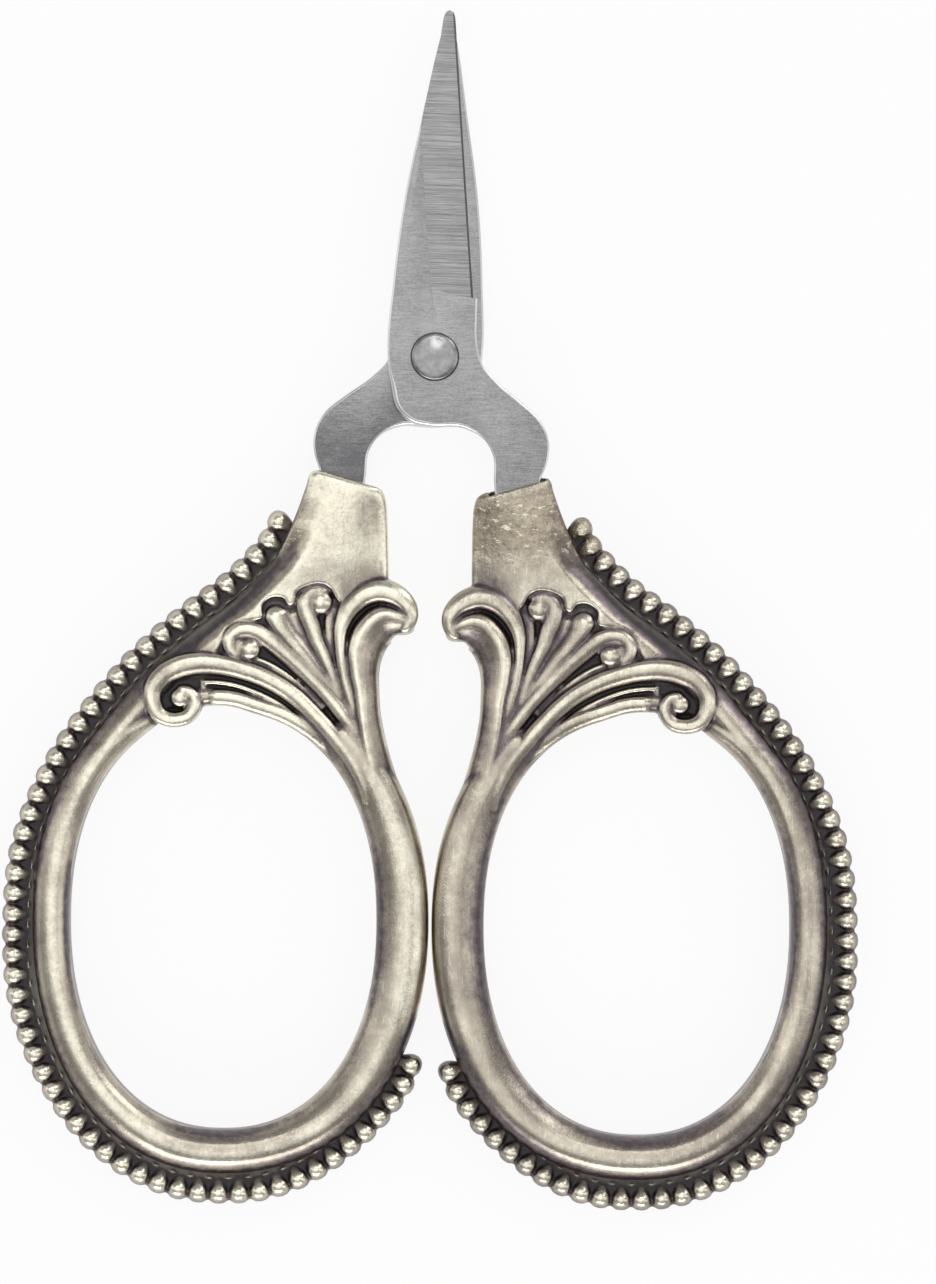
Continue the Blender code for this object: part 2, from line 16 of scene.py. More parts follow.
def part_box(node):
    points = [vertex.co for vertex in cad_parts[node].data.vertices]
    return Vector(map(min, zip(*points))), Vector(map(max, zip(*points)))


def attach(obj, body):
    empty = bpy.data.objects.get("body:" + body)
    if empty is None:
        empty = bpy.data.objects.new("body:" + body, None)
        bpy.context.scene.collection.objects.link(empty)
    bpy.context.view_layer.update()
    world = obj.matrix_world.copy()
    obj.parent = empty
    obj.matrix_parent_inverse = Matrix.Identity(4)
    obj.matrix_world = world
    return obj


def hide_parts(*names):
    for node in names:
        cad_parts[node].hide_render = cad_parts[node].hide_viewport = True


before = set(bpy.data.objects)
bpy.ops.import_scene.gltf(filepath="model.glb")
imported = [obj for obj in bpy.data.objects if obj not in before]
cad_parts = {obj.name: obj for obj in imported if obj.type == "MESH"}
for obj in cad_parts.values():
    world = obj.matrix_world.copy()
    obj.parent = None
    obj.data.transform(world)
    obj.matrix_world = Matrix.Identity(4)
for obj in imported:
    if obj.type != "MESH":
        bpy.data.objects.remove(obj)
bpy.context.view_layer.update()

MM = 0.001
TO_METRES = Matrix.Diagonal((MM, MM, MM, 1))
TURNED_OVER = Matrix.Rotation(math.pi, 4, "Y")

# Sizes of the scissors are in millimetres, and those of the floor, the lamps and the camera in metres

# Height of the plane between the blades, and the handles' half thickness
MIDDLE = 1.5
FACE = 1.5

# From the finger opening's centre down to the lowest point of the CAD handle
REACH_DOWN = 14.112

# Beads on a handle, the rail's steps from one to the next, and its steps for other uses
BEADS = 56
BEAD_STEPS = 8
FINE_RAIL = 300
COARSE_RAIL = 160

# Half width, half height and fullness of the finger opening, then the ring's width and half
# thickness by side, and both of them where the long scroll lies over the ring
OPENING = (7.57, 10.32, 2.2)
RING = {"outer": 1.85, "bottom": 2.2, "inner": 2.6, "top": 1.0}
RING_HEIGHT = {"outer": 1.47, "bottom": 1.5, "inner": 1.47, "top": 1.08}
THIN_RING = (0.8, 0.9)

# Half thickness of the stampings, their distance from the plane between them, and their tip
PLATE = 0.5
PLATE_GAP = 0.02
TIP = 17.2

# Radii of the hole for the rivet and of the rivet's shank
HOLE = 0.8
SHANK = 0.75

# Degrees that the closed blades lean to the right
CLOSED_LEAN = 2.45

# Points closer than this are merged
MERGED = 0.0005

# Sizes of the grids that run forms into one skin, and what that takes off a thin form
SHEET_VOXEL = 0.08
VOXEL = 0.065
FINE_VOXEL = 0.05
SKIN = 0.03
MOST_TRIANGLES = 190000

# Level and slope of the two wedges that are ground off a blade's outside
GROUND_WEDGE = (0.1, 0.445)
HONED_WEDGE = (0.02, 1.2)

# Order of a stamping's finishes
FLAT, GROUND, RIM, HONED = range(4)

# The photograph's height and scale in pixels, and where its middle is on the scissors
PHOTO_HEIGHT = 1284
PIXELS_PER_MM = 20.2
PHOTO_MIDDLE = (1.88, -1.53)


# Handling of pieces

def pick(piece):
    """Makes the piece the only selected and active object."""
    bpy.ops.object.select_all(action="DESELECT")
    piece.select_set(True)
    bpy.context.view_layer.objects.active = piece
    return piece


def shaped(piece, kind, **settings):
    """Adds a modifier, sets it and applies it."""
    pick(piece)
    modifier = piece.modifiers.new(kind.title(), kind)
    for name, value in settings.items():
        setattr(modifier, name, value)
    bpy.ops.object.modifier_apply(modifier=modifier.name)
    return piece


def points_of(piece):
    co = np.empty(len(piece.data.vertices) * 3)
    piece.data.vertices.foreach_get("co", co)
    return co.reshape(-1, 3)


def move_points(piece, points):
    piece.data.vertices.foreach_set("co", np.ravel(points))
    piece.data.update()
    return piece


def joined(name, pieces):
    bpy.ops.object.select_all(action="DESELECT")
    for piece in pieces:
        piece.select_set(True)
    bpy.context.view_layer.objects.active = pieces[0]
    bpy.ops.object.join()
    pieces[0].name = name
    pieces[0].data.name = name
    return pieces[0]


def facing_out(piece):
    """Merges doubles and turns all faces outwards."""
    pick(piece)
    bpy.ops.object.mode_set(mode="EDIT")
    bpy.ops.mesh.select_all(action="SELECT")
    bpy.ops.mesh.remove_doubles(threshold=MERGED)
    bpy.ops.mesh.normals_make_consistent(inside=False)
    bpy.ops.object.mode_set(mode="OBJECT")
    return piece


def copied(piece, name):
    made = piece.copy()
    made.data = piece.data.copy()
    made.name = name
    made.data.name = name
    bpy.context.scene.collection.objects.link(made)
    return made


def placed(piece, matrix):
    """Puts the place into the mesh, so that the object stays at the origin."""
    piece.data.transform(matrix)
    piece.matrix_world = Matrix.Identity(4)
    return piece


# Lines and sections

def smooth_line(knots, count):
    """Evenly spaced rows on a smooth curve through the knots, whatever columns they carry."""
    knots = np.array(knots, float)
    reach = np.concatenate([[0], np.cumsum(np.linalg.norm(np.diff(knots[:, :2], axis=0), axis=1))])
    pull = np.gradient(knots, reach, axis=0)
    fine = np.linspace(0, reach[-1], 40 * len(knots))
    span = np.clip(np.searchsorted(reach, fine, side="right") - 1, 0, len(knots) - 2)
    length = (reach[span + 1] - reach[span])[:, None]
    t = ((fine - reach[span]) / length[:, 0])[:, None]
    line = ((1 + 2 * t) * (1 - t) ** 2 * knots[span] + t * (1 - t) ** 2 * length * pull[span]
            + t * t * (3 - 2 * t) * knots[span + 1] + t * t * (t - 1) * length * pull[span + 1])
    walked = np.concatenate([[0], np.cumsum(np.linalg.norm(np.diff(line[:, :2], axis=0), axis=1))])
    wanted = np.linspace(0, walked[-1], count)
    return np.stack([np.interp(wanted, walked, column) for column in line.T], axis=1)


def ways_of(line):
    """The unit direction of travel along a line."""
    way = np.gradient(line[:, :2], axis=0)
    return way / np.linalg.norm(way, axis=1)[:, None]


def fuller(value, fullness):
    return np.sign(value) * np.abs(value) ** (2 / fullness)


def rise(value, low, high):
    """0 below low, 1 above high, and a smooth step between them."""
    t = np.clip((value - low) / (high - low), 0, 1)
    return t * t * (3 - 2 * t)


def domed(section, half_height, dome, fullness, fade=1.0):
    """Height of a section with plain side walls and a dome on each face. A fade under 1 lowers it."""
    over = np.abs(fuller(np.sin(section), fullness)) * fade
    return np.where(over > 0.001, np.sign(np.sin(section)) * (half_height - dome * (1 - over)), 0)


def strand(knots, crest=0.0, fullness=2.2, dome=0.8, count=90, sides=28):
    """A cord of metal with rounded ends: each knot holds u, v, half width and half height.

    A ball is drawn out along the line. The crest leans to the left of travel where it is positive,
    and the dome's rise is a share of the half width.
    """
    line = smooth_line(knots, 400)
    steps = np.linalg.norm(np.diff(line[:, :2], axis=0), axis=1)
    length = steps.sum()
    way = ways_of(line)
    bpy.ops.mesh.primitive_uv_sphere_add(segments=sides, ring_count=count, radius=1)
    piece = bpy.context.object
    ball = points_of(piece)
    share = np.arccos(np.clip(ball[:, 2], -1, 1)) / math.pi
    around = np.arctan2(ball[:, 1], ball[:, 0])
    at = share * (len(line) - 1)
    column = [np.interp(at, np.arange(len(line)), values) for values in (*line.T, *way.T)]
    u, v, half_width, half_height, way_u, way_v = column
    half_width = half_width + SKIN
    start = np.clip(share * length / half_width, 0, 1)
    end = np.clip((1 - share) * length / half_width, 0, 1)
    taper = np.sqrt(np.clip(1 - (1 - start) ** 2, 0, 1) * np.clip(1 - (1 - end) ** 2, 0, 1))
    out = half_width * taper * (fuller(np.cos(around), fullness) + crest * np.sin(around) ** 2)
    up = domed(around, half_height, dome * half_width, fullness, np.maximum(taper, 0.01))
    side = np.stack([-way_v, way_u, np.zeros_like(u)], axis=1)
    centre = np.stack([u, v, up], axis=1)
    move_points(piece, centre + side * out[:, None])
    return facing_out(piece)


def stud(u, v, size, half_height, dome=0.5):
    """A round head with plain walls and a dome on each face, whose rise is a share of its size."""
    bpy.ops.mesh.primitive_uv_sphere_add(segments=28, ring_count=24, radius=1, location=(0, 0, 0))
    piece = bpy.context.object
    ball = points_of(piece)
    up = domed(np.arcsin(np.clip(ball[:, 2], -1, 1)), half_height, dome * size, 2)
    return move_points(piece, np.stack([ball[:, 0] * size + u, ball[:, 1] * size + v, up], axis=1))


def sheet(outline, half_height, edge, crown=None):
    """A flat wall inside the outline, its rims rounded by edge, and crowned where a crown is given."""
    curve = bpy.data.curves.new("sheet", "CURVE")
    curve.dimensions = "2D"
    curve.fill_mode = "BOTH"
    curve.extrude = half_height - edge
    curve.bevel_depth = edge
    curve.bevel_resolution = 4
    curve.offset = -edge
    spline = curve.splines.new("POLY")
    spline.points.add(len(outline) - 1)
    for point, (u, v) in zip(spline.points, outline):
        point.co = (u, v, 0, 1)
    spline.use_cyclic_u = True
    piece = bpy.data.objects.new("sheet", curve)
    bpy.context.scene.collection.objects.link(piece)
    pick(piece)
    bpy.ops.object.convert(target="MESH")
    facing_out(piece)
    if crown:
        shaped(piece, "REMESH", mode="VOXEL", voxel_size=SHEET_VOXEL)
        points = points_of(piece)
        points[:, 2] *= crown(points[:, 0], points[:, 1])
        move_points(piece, points)
    return piece


# The casting

def by_side(normal_u, normal_v, sizes):
    """A size of the ring by which way its wall faces, as outer, bottom, inner and top."""
    level = np.where(normal_u > 0, sizes["outer"], sizes["inner"])
    share = np.where(normal_v > 0, normal_v**4, normal_v**2)
    return level + (np.where(normal_v > 0, sizes["top"], sizes["bottom"]) - level) * share


def opening_edge(turn):
    """Points on the edge of the finger opening, and the way out from each.

    The opening reaches a little further up beside the scroll's hook.
    """
    half_u, half_v, fullness = OPENING
    across = fuller(np.cos(turn), fullness)
    along = fuller(np.sin(turn), fullness)
    normal = np.stack([
        np.sign(across) * np.abs(across) ** (fullness - 1) / half_u,
        np.sign(along) * np.abs(along) ** (fullness - 1) / half_v,
    ], axis=-1)
    normal /= np.linalg.norm(normal, axis=-1)[..., None]
    off_top = (np.mod(turn, math.tau) - math.radians(82)) / math.radians(15)
    edge = np.stack([across * half_u, along * half_v], axis=-1)
    return edge + normal * 0.3 * np.exp(-(off_top**4))[..., None], normal


def finger_ring():
    """A torus drawn into the ring: a flat-topped bar whose width varies round the opening."""
    bpy.ops.mesh.primitive_torus_add(
        major_segments=240, minor_segments=36, major_radius=2, minor_radius=1, location=(0, 0, 0)
    )
    piece = bpy.context.object
    torus = points_of(piece)
    turn = np.arctan2(torus[:, 1], torus[:, 0])
    section = np.arctan2(torus[:, 2], np.hypot(torus[:, 0], torus[:, 1]) - 2)
    edge, normal = opening_edge(turn)
    degrees = np.degrees(turn)
    under_scroll = rise(degrees, 86, 98) * (1 - rise(degrees, 117, 129))
    thin_width, thin_height = THIN_RING
    width = by_side(normal[:, 0], normal[:, 1], RING)
    width -= (width - thin_width) * under_scroll
    waist = np.exp(-(((normal[:, 1] - 0.42) / 0.22) ** 2)) * (normal[:, 0] < 0)
    width -= 0.14 * waist
    lean = np.where(normal[:, 0] > 0, -0.12, 0.15) * rise(np.abs(normal[:, 0]), 0.2, 0.8)
    out = width / 2 * (1 + fuller(np.cos(section), 2.2) + lean * np.sin(section) ** 2)
    flat = edge + normal * out[:, None]
    height = by_side(normal[:, 0], normal[:, 1], RING_HEIGHT)
    height -= (height - thin_height) * under_scroll
    hook = (2.7, 10.1)
    off_hook = np.hypot(edge[:, 0] - hook[0], edge[:, 1] - hook[1])
    height = height * (1 - 0.42 * np.exp(-(off_hook**2)))
    up = domed(section, height, 0.52 * np.minimum(width, 2.2), 2.05)
    return facing_out(move_points(piece, np.stack([flat[:, 0], flat[:, 1], up], axis=1)))


def bead_rail(count):
    """The line of the beads' centres, from the collar down and round the ring."""
    return smooth_line([
        (-2.98, 20.15), (-2.72, 19.66), (-2.24, 18.76), (-1.56, 17.97), (-0.17, 16.64), (1.46, 15.45),
        (2.99, 14.21), (4.48, 12.83), (5.82, 11.34), (7.6, 9.05), (9.05, 6.45), (10.08, 3.45),
        (10.4, 0.0), (10.2, -3.71), (8.92, -7.49), (6.35, -11.0), (4.5, -12.36), (2.34, -13.25),
        (0.0, -13.5), (-2.34, -13.27), (-4.57, -12.34), (-6.2, -11.19), (-7.66, -9.78), (-8.88, -8.15),
        (-9.27, -7.2), (-9.45, -6.7),
    ], count)


def beside(line, distance):
    """The line moved to the left of travel, which is away from the opening for the bead rail."""
    way = ways_of(line)
    return line[:, :2] + np.stack([-way[:, 1], way[:, 0]], axis=1) * distance


def neck_crown(u, v):
    """How the neck's faces fall away to its sides, to the beads and towards the leaves."""
    axis = -6.0 + 0.42 * np.clip(21.6 - v, 0, None)
    half = 2.15 + 0.33 * np.clip(20.5 - v, 0, None)
    off = np.clip(np.abs(u - axis) / half, 0, 1.15)
    rail = bead_rail(COARSE_RAIL)
    gap = np.min(np.hypot(u[:, None] - rail[:, 0], v[:, None] - rail[:, 1]), axis=1)
    beside_beads = 1 - 0.42 * (1 - rise(gap, 0.9, 1.95)) * (1 - rise(v, 17.6, 19.8))
    return (1 - 0.2 * off**2.5) * (1 - 0.19 * (1 - rise(v, 14.0, 18.5))) * beside_beads


def neck():
    """The collar that holds the tang, and the smooth field that runs from it into the leaves."""
    inner = smooth_line([
        (-7.62, 21.42), (-7.9, 21.2), (-8.05, 20.75), (-8.12, 19.9), (-8.15, 18.6), (-8.17, 17.3),
        (-8.15, 16.3),
    ], 40)
    foot = smooth_line([
        (-8.0, 16.1), (-7.3, 16.1), (-6.6, 15.9), (-6.0, 15.5), (-5.6, 15.9), (-5.3, 16.4),
        (-4.75, 16.62), (-4.2, 16.5), (-3.7, 16.2), (-3.5, 15.6), (-3.3, 15.5), (-3.0, 15.9),
        (-2.5, 15.95), (-1.98, 15.6), (-1.95, 14.9), (-1.4, 14.8), (-0.75, 14.75), (-0.15, 14.38),
        (0.02, 13.8), (0.3, 13.25), (1.85, 13.1),
    ], 110)
    outer = smooth_line([
        (2.2, 13.5), (0.82, 14.7), (-0.55, 15.9), (-1.72, 16.98), (-2.72, 18.15), (-3.35, 19.4),
        (-3.82, 20.6), (-4.17, 21.6),
    ], 40)
    mouth = [(-4.22, 21.95), (-4.4, 22.2), (-4.7, 22.24), (-5.2, 22.12), (-7.3, 21.5)]
    under_collar = [(-7.6, 17.2), (-4.8, 17.6), (-3.0, 17.2)]
    collar = sheet([*inner, *under_collar, *outer[12:], *mouth], FACE, 0.3, neck_crown)
    within = [(-2.9, 17.9), (-3.7, 19.0), (-6.0, 19.0), (-7.85, 17.6)]
    field = sheet([*foot, *outer[:24], *within], FACE, 0.08, neck_crown)
    body = joined("neck", [collar, field])
    shaped(body, "REMESH", mode="VOXEL", voxel_size=SHEET_VOXEL)
    tang_socket = ((-5.87, 21.6, 0.52), 6, (2.9, 9.0, 1.3))
    lip_notch = ((-6.0, 21.87, 1.4), 15.7, (5.2, 0.46, 1.0))
    for place, degrees, size in (tang_socket, lip_notch):
        cut_box(body, place, degrees, size)
    return body


def cut_box(piece, place, degrees, size):
    """Cuts a box out of the piece, turned by so many degrees in its plane."""
    bpy.ops.mesh.primitive_cube_add(size=1, location=(0, 0, 0))
    box = bpy.context.object
    turn = Matrix.Rotation(math.radians(degrees), 4, "Z")
    placed(box, Matrix.Translation(place) @ turn @ Matrix.Diagonal((*size, 1)))
    shaped(piece, "BOOLEAN", operation="DIFFERENCE", object=box, solver="EXACT")
    bpy.data.objects.remove(box)


def edge_band():
    """The sloping band beside the beads, from the collar's foot down into the ring."""
    rail = bead_rail(FINE_RAIL)
    stretch = slice(14, 122)
    share = np.linspace(0, 1, stretch.stop - stretch.start)
    half_width = 0.42 + 0.3 * rise(share, 0, 0.3) - 0.35 * rise(share, 0.7, 1)
    half_height = 0.7 + 0.72 * rise(share, 0, 0.65) - 0.5 * rise(share, 0.75, 1)
    inward = (beside(rail, -2) - beside(rail, -1))[stretch]
    line = beside(rail, -0.92)[stretch] + inward * half_width[:, None]
    knots = np.stack([*line.T, half_width, half_height], axis=1)[::6]
    return strand(knots, crest=-0.3, fullness=2.0, dome=1.0)


def recess_floor():
    """The thin web behind the leaves."""
    rail = beside(bead_rail(FINE_RAIL), -0.9)[20:125]
    turn = np.linspace(math.radians(20), math.radians(150), 40)
    edge, normal = opening_edge(turn)
    over_opening = edge + normal * 0.35
    inner_side = [
        (-7.4, 10.3), (-7.3, 12.0), (-7.6, 13.6), (-8.5, 14.4), (-9.1, 14.7), (-9.1, 15.5),
        (-8.3, 16.2), (-7.2, 16.9), (-5.5, 18.0),
    ]
    return sheet([*rail[::3], *over_opening, *inner_side], 0.8, 0.1)


def leaves():
    """What fans out over the opening, in front of the web."""
    return [*scrolls(), *leaf_and_curl(), *hood_and_lobe(), *thin_ribs(), *curl_ends()]


def scrolls():
    """The long scroll that ends in a hook over the opening, and the volute above it."""
    long_scroll = strand([
        (-7.35, 5.6, 0.3, 1.3), (-7.0, 6.7, 0.36, 1.38), (-6.3, 8.05, 0.4, 1.42),
        (-5.55, 9.0, 0.41, 1.42), (-4.82, 9.83, 0.42, 1.42), (-3.34, 11.25, 0.44, 1.4),
        (-2.2, 11.93, 0.46, 1.38), (-1.07, 12.36, 0.49, 1.36), (0.1, 12.64, 0.53, 1.36),
        (1.2, 12.7, 0.57, 1.36), (2.2, 12.5, 0.57, 1.36), (3.0, 12.05, 0.53, 1.37),
        (3.45, 11.35, 0.47, 1.38), (3.43, 10.7, 0.43, 1.37), (3.15, 10.2, 0.39, 1.34),
        (2.75, 9.97, 0.36, 1.32), (2.25, 9.92, 0.35, 1.3), (1.8, 10.05, 0.35, 1.28),
        (1.5, 10.4, 0.35, 1.26), (1.4, 10.85, 0.34, 1.24), (1.62, 11.22, 0.31, 1.22),
        (2.0, 11.3, 0.3, 1.2), (2.28, 11.2, 0.3, 1.2),
    ], crest=0.1, count=240)
    volute = strand([
        (-6.6, 9.2, 0.34, 1.3), (-5.31, 10.95, 0.38, 1.3), (-4.3, 12.05, 0.41, 1.3),
        (-3.34, 12.98, 0.43, 1.3), (-2.75, 13.5, 0.46, 1.3), (-2.2, 13.93, 0.48, 1.3),
        (-1.7, 14.23, 0.46, 1.3), (-1.18, 14.36, 0.42, 1.3), (-0.7, 14.25, 0.4, 1.3),
        (-0.4, 13.92, 0.38, 1.3), (-0.42, 13.48, 0.38, 1.28), (-0.72, 13.18, 0.36, 1.26),
        (-1.05, 13.08, 0.32, 1.24),
    ], crest=0.1, count=160)
    return [long_scroll, volute]


def leaf_and_curl():
    """The middle leaf's rounded end, and the small curl between it and the hood."""
    leaf_end = strand([
        (-6.1, 10.3, 0.24, 1.2), (-5.45, 11.44, 0.27, 1.22), (-4.7, 12.3, 0.33, 1.26),
        (-3.98, 13.22, 0.4, 1.3), (-3.32, 14.02, 0.48, 1.3), (-2.87, 14.65, 0.56, 1.32),
        (-2.63, 15.2, 0.62, 1.32), (-2.5, 15.62, 0.5, 1.28),
    ], crest=-0.2)
    small_curl = strand([
        (-5.8, 10.6, 0.24, 1.2), (-5.3, 12.3, 0.3, 1.25), (-4.93, 13.2, 0.34, 1.28),
        (-4.6, 13.9, 0.38, 1.3), (-4.36, 14.6, 0.44, 1.32), (-4.15, 15.2, 0.47, 1.34),
        (-4.07, 15.72, 0.45, 1.34), (-4.26, 16.1, 0.4, 1.32), (-4.62, 16.26, 0.34, 1.3),
        (-4.98, 16.18, 0.3, 1.27), (-5.2, 15.95, 0.26, 1.22),
    ], crest=0.1, count=130)
    return [leaf_end, small_curl]


def hood_and_lobe():
    """The hood that bends over, the lobe that it wraps, and the bar that joins them to the ring."""
    hood = strand([
        (-6.75, 9.4, 0.24, 1.2), (-6.3, 10.9, 0.26, 1.25), (-5.96, 12.2, 0.24, 1.28),
        (-5.8, 13.4, 0.24, 1.32), (-5.85, 14.5, 0.34, 1.36), (-6.32, 15.54, 0.52, 1.39),
        (-7.02, 16.12, 0.59, 1.4), (-7.75, 16.29, 0.59, 1.4), (-8.34, 16.16, 0.56, 1.4),
        (-8.84, 15.87, 0.49, 1.38), (-9.17, 15.45, 0.43, 1.35), (-9.28, 15.02, 0.35, 1.3),
        (-9.2, 14.68, 0.3, 1.27), (-9.0, 14.45, 0.26, 1.24), (-8.72, 14.34, 0.22, 1.2),
    ], crest=0.12, count=160)
    lobe = strand([
        (-9.48, 14.62, 0.36, 1.12), (-9.05, 14.54, 0.43, 1.25), (-8.62, 14.7, 0.68, 1.34),
        (-8.02, 14.7, 1.0, 1.38), (-7.36, 14.2, 1.02, 1.42), (-6.97, 13.3, 0.96, 1.43),
        (-6.92, 12.35, 0.79, 1.43), (-7.04, 11.3, 0.66, 1.43), (-7.14, 10.3, 0.61, 1.43),
        (-7.3, 9.2, 0.64, 1.44), (-7.64, 7.6, 0.72, 1.45), (-8.16, 5.6, 0.8, 1.43),
        (-8.75, 3.6, 0.74, 1.34), (-9.1, 1.6, 0.5, 0.9),
    ], crest=0.4, fullness=1.85, dome=1.3, count=160)
    joining_bar = strand([
        (-5.5, 11.6, 0.36, 1.05), (-6.2, 10.2, 0.62, 1.22), (-6.75, 8.9, 0.74, 1.34),
        (-7.35, 7.2, 0.85, 1.4), (-7.9, 5.2, 0.8, 1.12), (-8.3, 3.4, 0.6, 0.8),
    ], fullness=2.3)
    return [hood, lobe, joining_bar]


def thin_ribs():
    """The ribs in the gaps, the bar that ends the gap under the scroll, and a web beside the hood."""
    under_rib = strand([
        (1.0, 11.78, 0.08, 0.98), (0.3, 11.76, 0.09, 1.08), (-0.49, 11.65, 0.09, 1.1),
        (-1.75, 11.22, 0.09, 1.1), (-3.01, 10.55, 0.09, 1.1), (-4.1, 9.7, 0.08, 1.08),
    ])
    gap_rib = strand([
        (-0.9, 12.98, 0.08, 0.98), (-1.8, 12.86, 0.09, 1.08), (-2.88, 12.32, 0.09, 1.1),
        (-3.6, 11.78, 0.09, 1.1), (-4.3, 11.15, 0.09, 1.1), (-5.0, 10.4, 0.1, 1.12),
    ])
    gap_ridge = strand([
        (-5.55, 11.8, 0.14, 1.05), (-5.38, 13.0, 0.2, 1.08), (-5.28, 14.0, 0.22, 1.08),
        (-5.3, 14.8, 0.26, 1.06), (-5.55, 15.6, 0.26, 1.08),
    ])
    end_bar = strand([(1.0, 12.0, 0.12, 0.9), (0.95, 11.5, 0.14, 0.95), (0.98, 11.0, 0.14, 0.95)])
    gap_web = strand([
        (-5.4, 11.8, 0.3, 1.0), (-5.45, 13.4, 0.36, 1.02), (-5.6, 14.8, 0.4, 1.02), (-5.7, 16.0, 0.3, 1.0),
    ], dome=0.2)
    leaf_rib = strand([
        (-4.9, 12.6, 0.12, 1.1), (-4.3, 13.5, 0.16, 1.1), (-3.7, 14.4, 0.2, 1.12),
        (-3.35, 15.3, 0.24, 1.12),
    ])
    return [under_rib, gap_rib, gap_ridge, end_bar, gap_web, leaf_rib]


def curl_ends():
    """The round studs in the curls' eyes, and the low ones that close the web behind their ends."""
    return [
        stud(2.1, 11.0, 0.46, 1.28),
        stud(-1.33, 13.4, 0.54, 1.36, 0.6),
        stud(-4.82, 15.72, 0.62, 1.38, 0.6),
        stud(-0.95, 13.52, 0.36, 1.26, 0.3),
        stud(-4.5, 15.8, 0.36, 1.3, 0.3),
        stud(-1.05, 13.6, 0.66, 1.05, 0.1),
        stud(-2.8, 15.55, 0.85, 1.0, 0.1),
        stud(-3.6, 15.3, 0.5, 1.0, 0.1),
        stud(0.05, 13.35, 0.5, 1.0, 0.1),
        stud(-1.95, 14.75, 0.5, 1.0, 0.1),
    ]


def opening_rib():
    """The bar along the opening where the ring is thin, which starts beside the scroll's hook."""
    turn = np.radians(np.linspace(86, 138, 14))
    edge, normal = opening_edge(turn)
    line = edge + normal * 0.41
    ending = rise(np.linspace(0, 1, len(line)), 0.6, 1)
    return strand(np.stack([*line.T, 0.38 - 0.12 * ending, 1.22 - 0.4 * ending], axis=1), crest=-0.2)


def cast_smooth(piece, voxel, rounds):
    """Runs the forms into one skin, as the cast metal does, and keeps the number of faces in hand."""
    shaped(piece, "REMESH", mode="VOXEL", voxel_size=voxel)
    shaped(piece, "SMOOTH", factor=0.5, iterations=rounds)
    piece.data.calc_loop_triangles()
    count = len(piece.data.loop_triangles)
    if count > MOST_TRIANGLES:
        shaped(piece, "DECIMATE", ratio=MOST_TRIANGLES / count)
    pick(piece)
    bpy.ops.object.shade_smooth()
    return piece


def casting():
    forms = [finger_ring(), neck(), edge_band(), recess_floor(), opening_rib(), *leaves()]
    return cast_smooth(joined("right_casting", forms), VOXEL, 3)


def beading():
    """The thin rim with its beads, and a small knuckle between each two of them in the channel."""
    rail = bead_rail(BEADS * BEAD_STEPS + 1)
    way = ways_of(rail)
    half = BEAD_STEPS // 2
    beaded = slice(half, half + BEAD_STEPS * (BEADS - 1) + 1, half)
    outer = beside(rail, 0.36)[beaded]
    inner = beside(rail, -1.3)[beaded]
    forms = [sheet([*outer, *inner[::-1]], 0.45, 0.15)]
    for i in range(BEADS):
        at = half + BEAD_STEPS * i
        forms.append(bead(rail[at], way[at]))
        if i < BEADS - 1:
            forms.append(knuckle(rail[at + half], way[at + half]))
    return cast_smooth(joined("right_beading", forms), FINE_VOXEL, 2)


def bead(place, way):
    """One bead: a ball drawn out across the rail, and narrower towards the ring."""
    bpy.ops.mesh.primitive_uv_sphere_add(segments=16, ring_count=10, radius=1, location=(0, 0, 0))
    piece = bpy.context.object
    turn = Matrix.Rotation(math.atan2(way[1], way[0]), 4, "Z")
    ball = points_of(piece)
    inward = rise(-ball[:, 1], 0.1, 1)
    along = fuller(ball[:, 0], 2.4) * (0.56 - 0.14 * inward)
    across = fuller(ball[:, 1], 2.2) * (0.56 + 0.27 * inward)
    up = fuller(ball[:, 2], 2.4) * (0.88 - 0.12 * inward)
    move_points(piece, np.stack([along, across, up], axis=1))
    return placed(piece, Matrix.Translation((*place, 0)) @ turn)


def knuckle(place, way):
    """A small ridge along the channel, on the ring's side of the rail."""
    bpy.ops.mesh.primitive_ico_sphere_add(subdivisions=2, radius=1, location=(0, 0, 0))
    piece = bpy.context.object
    away = np.array((-way[1], way[0]))
    turn = Matrix.Rotation(math.atan2(way[1], way[0]), 4, "Z")
    in_channel = Matrix.Translation((*(place - 0.76 * away), 0))
    return placed(piece, in_channel @ turn @ Matrix.Diagonal((0.32, 0.13, 0.62, 1)))


# The stampings and the rivet

CUTTING_EDGE = [
    (-0.02, TIP), (0.17, 17.14), (0.26, 16.95), (0.33, 16.5), (0.4, 15.8), (0.48, 15.03), (0.71, 12.9),
    (1.0, 10.1), (1.16, 8.6), (1.32, 7.1), (1.48, 5.6), (1.63, 4.3), (1.71, 3.8), (1.82, 3.52),
    (1.92, 3.36), (1.965, 3.15), (1.975, 2.9),
]
STAMPING_OUTER = [
    (1.975, 2.9), (1.985, 2.1), (2.02, 1.03), (2.38, -0.29), (3.07, -1.05), (4.31, -2.01), (5.32, -2.9),
    (5.825, -4.08), (5.74, -5.1), (5.481, -5.76),
]
STAMPING_INNER = [
    (3.174, -6.0), (3.066, -4.72), (2.584, -3.96), (1.577, -3.46), (-0.088, -3.45), (-0.986, -3.3),
    (-1.73, -2.71), (-2.124, -1.4), (-2.33, 0.0), (-2.209, 3.59), (-1.82, 7.77), (-1.015, 12.48),
    (-0.6, 14.85), (-0.33, 16.2), (-0.25, 16.8), (-0.17, 17.1), (-0.02, TIP),
]
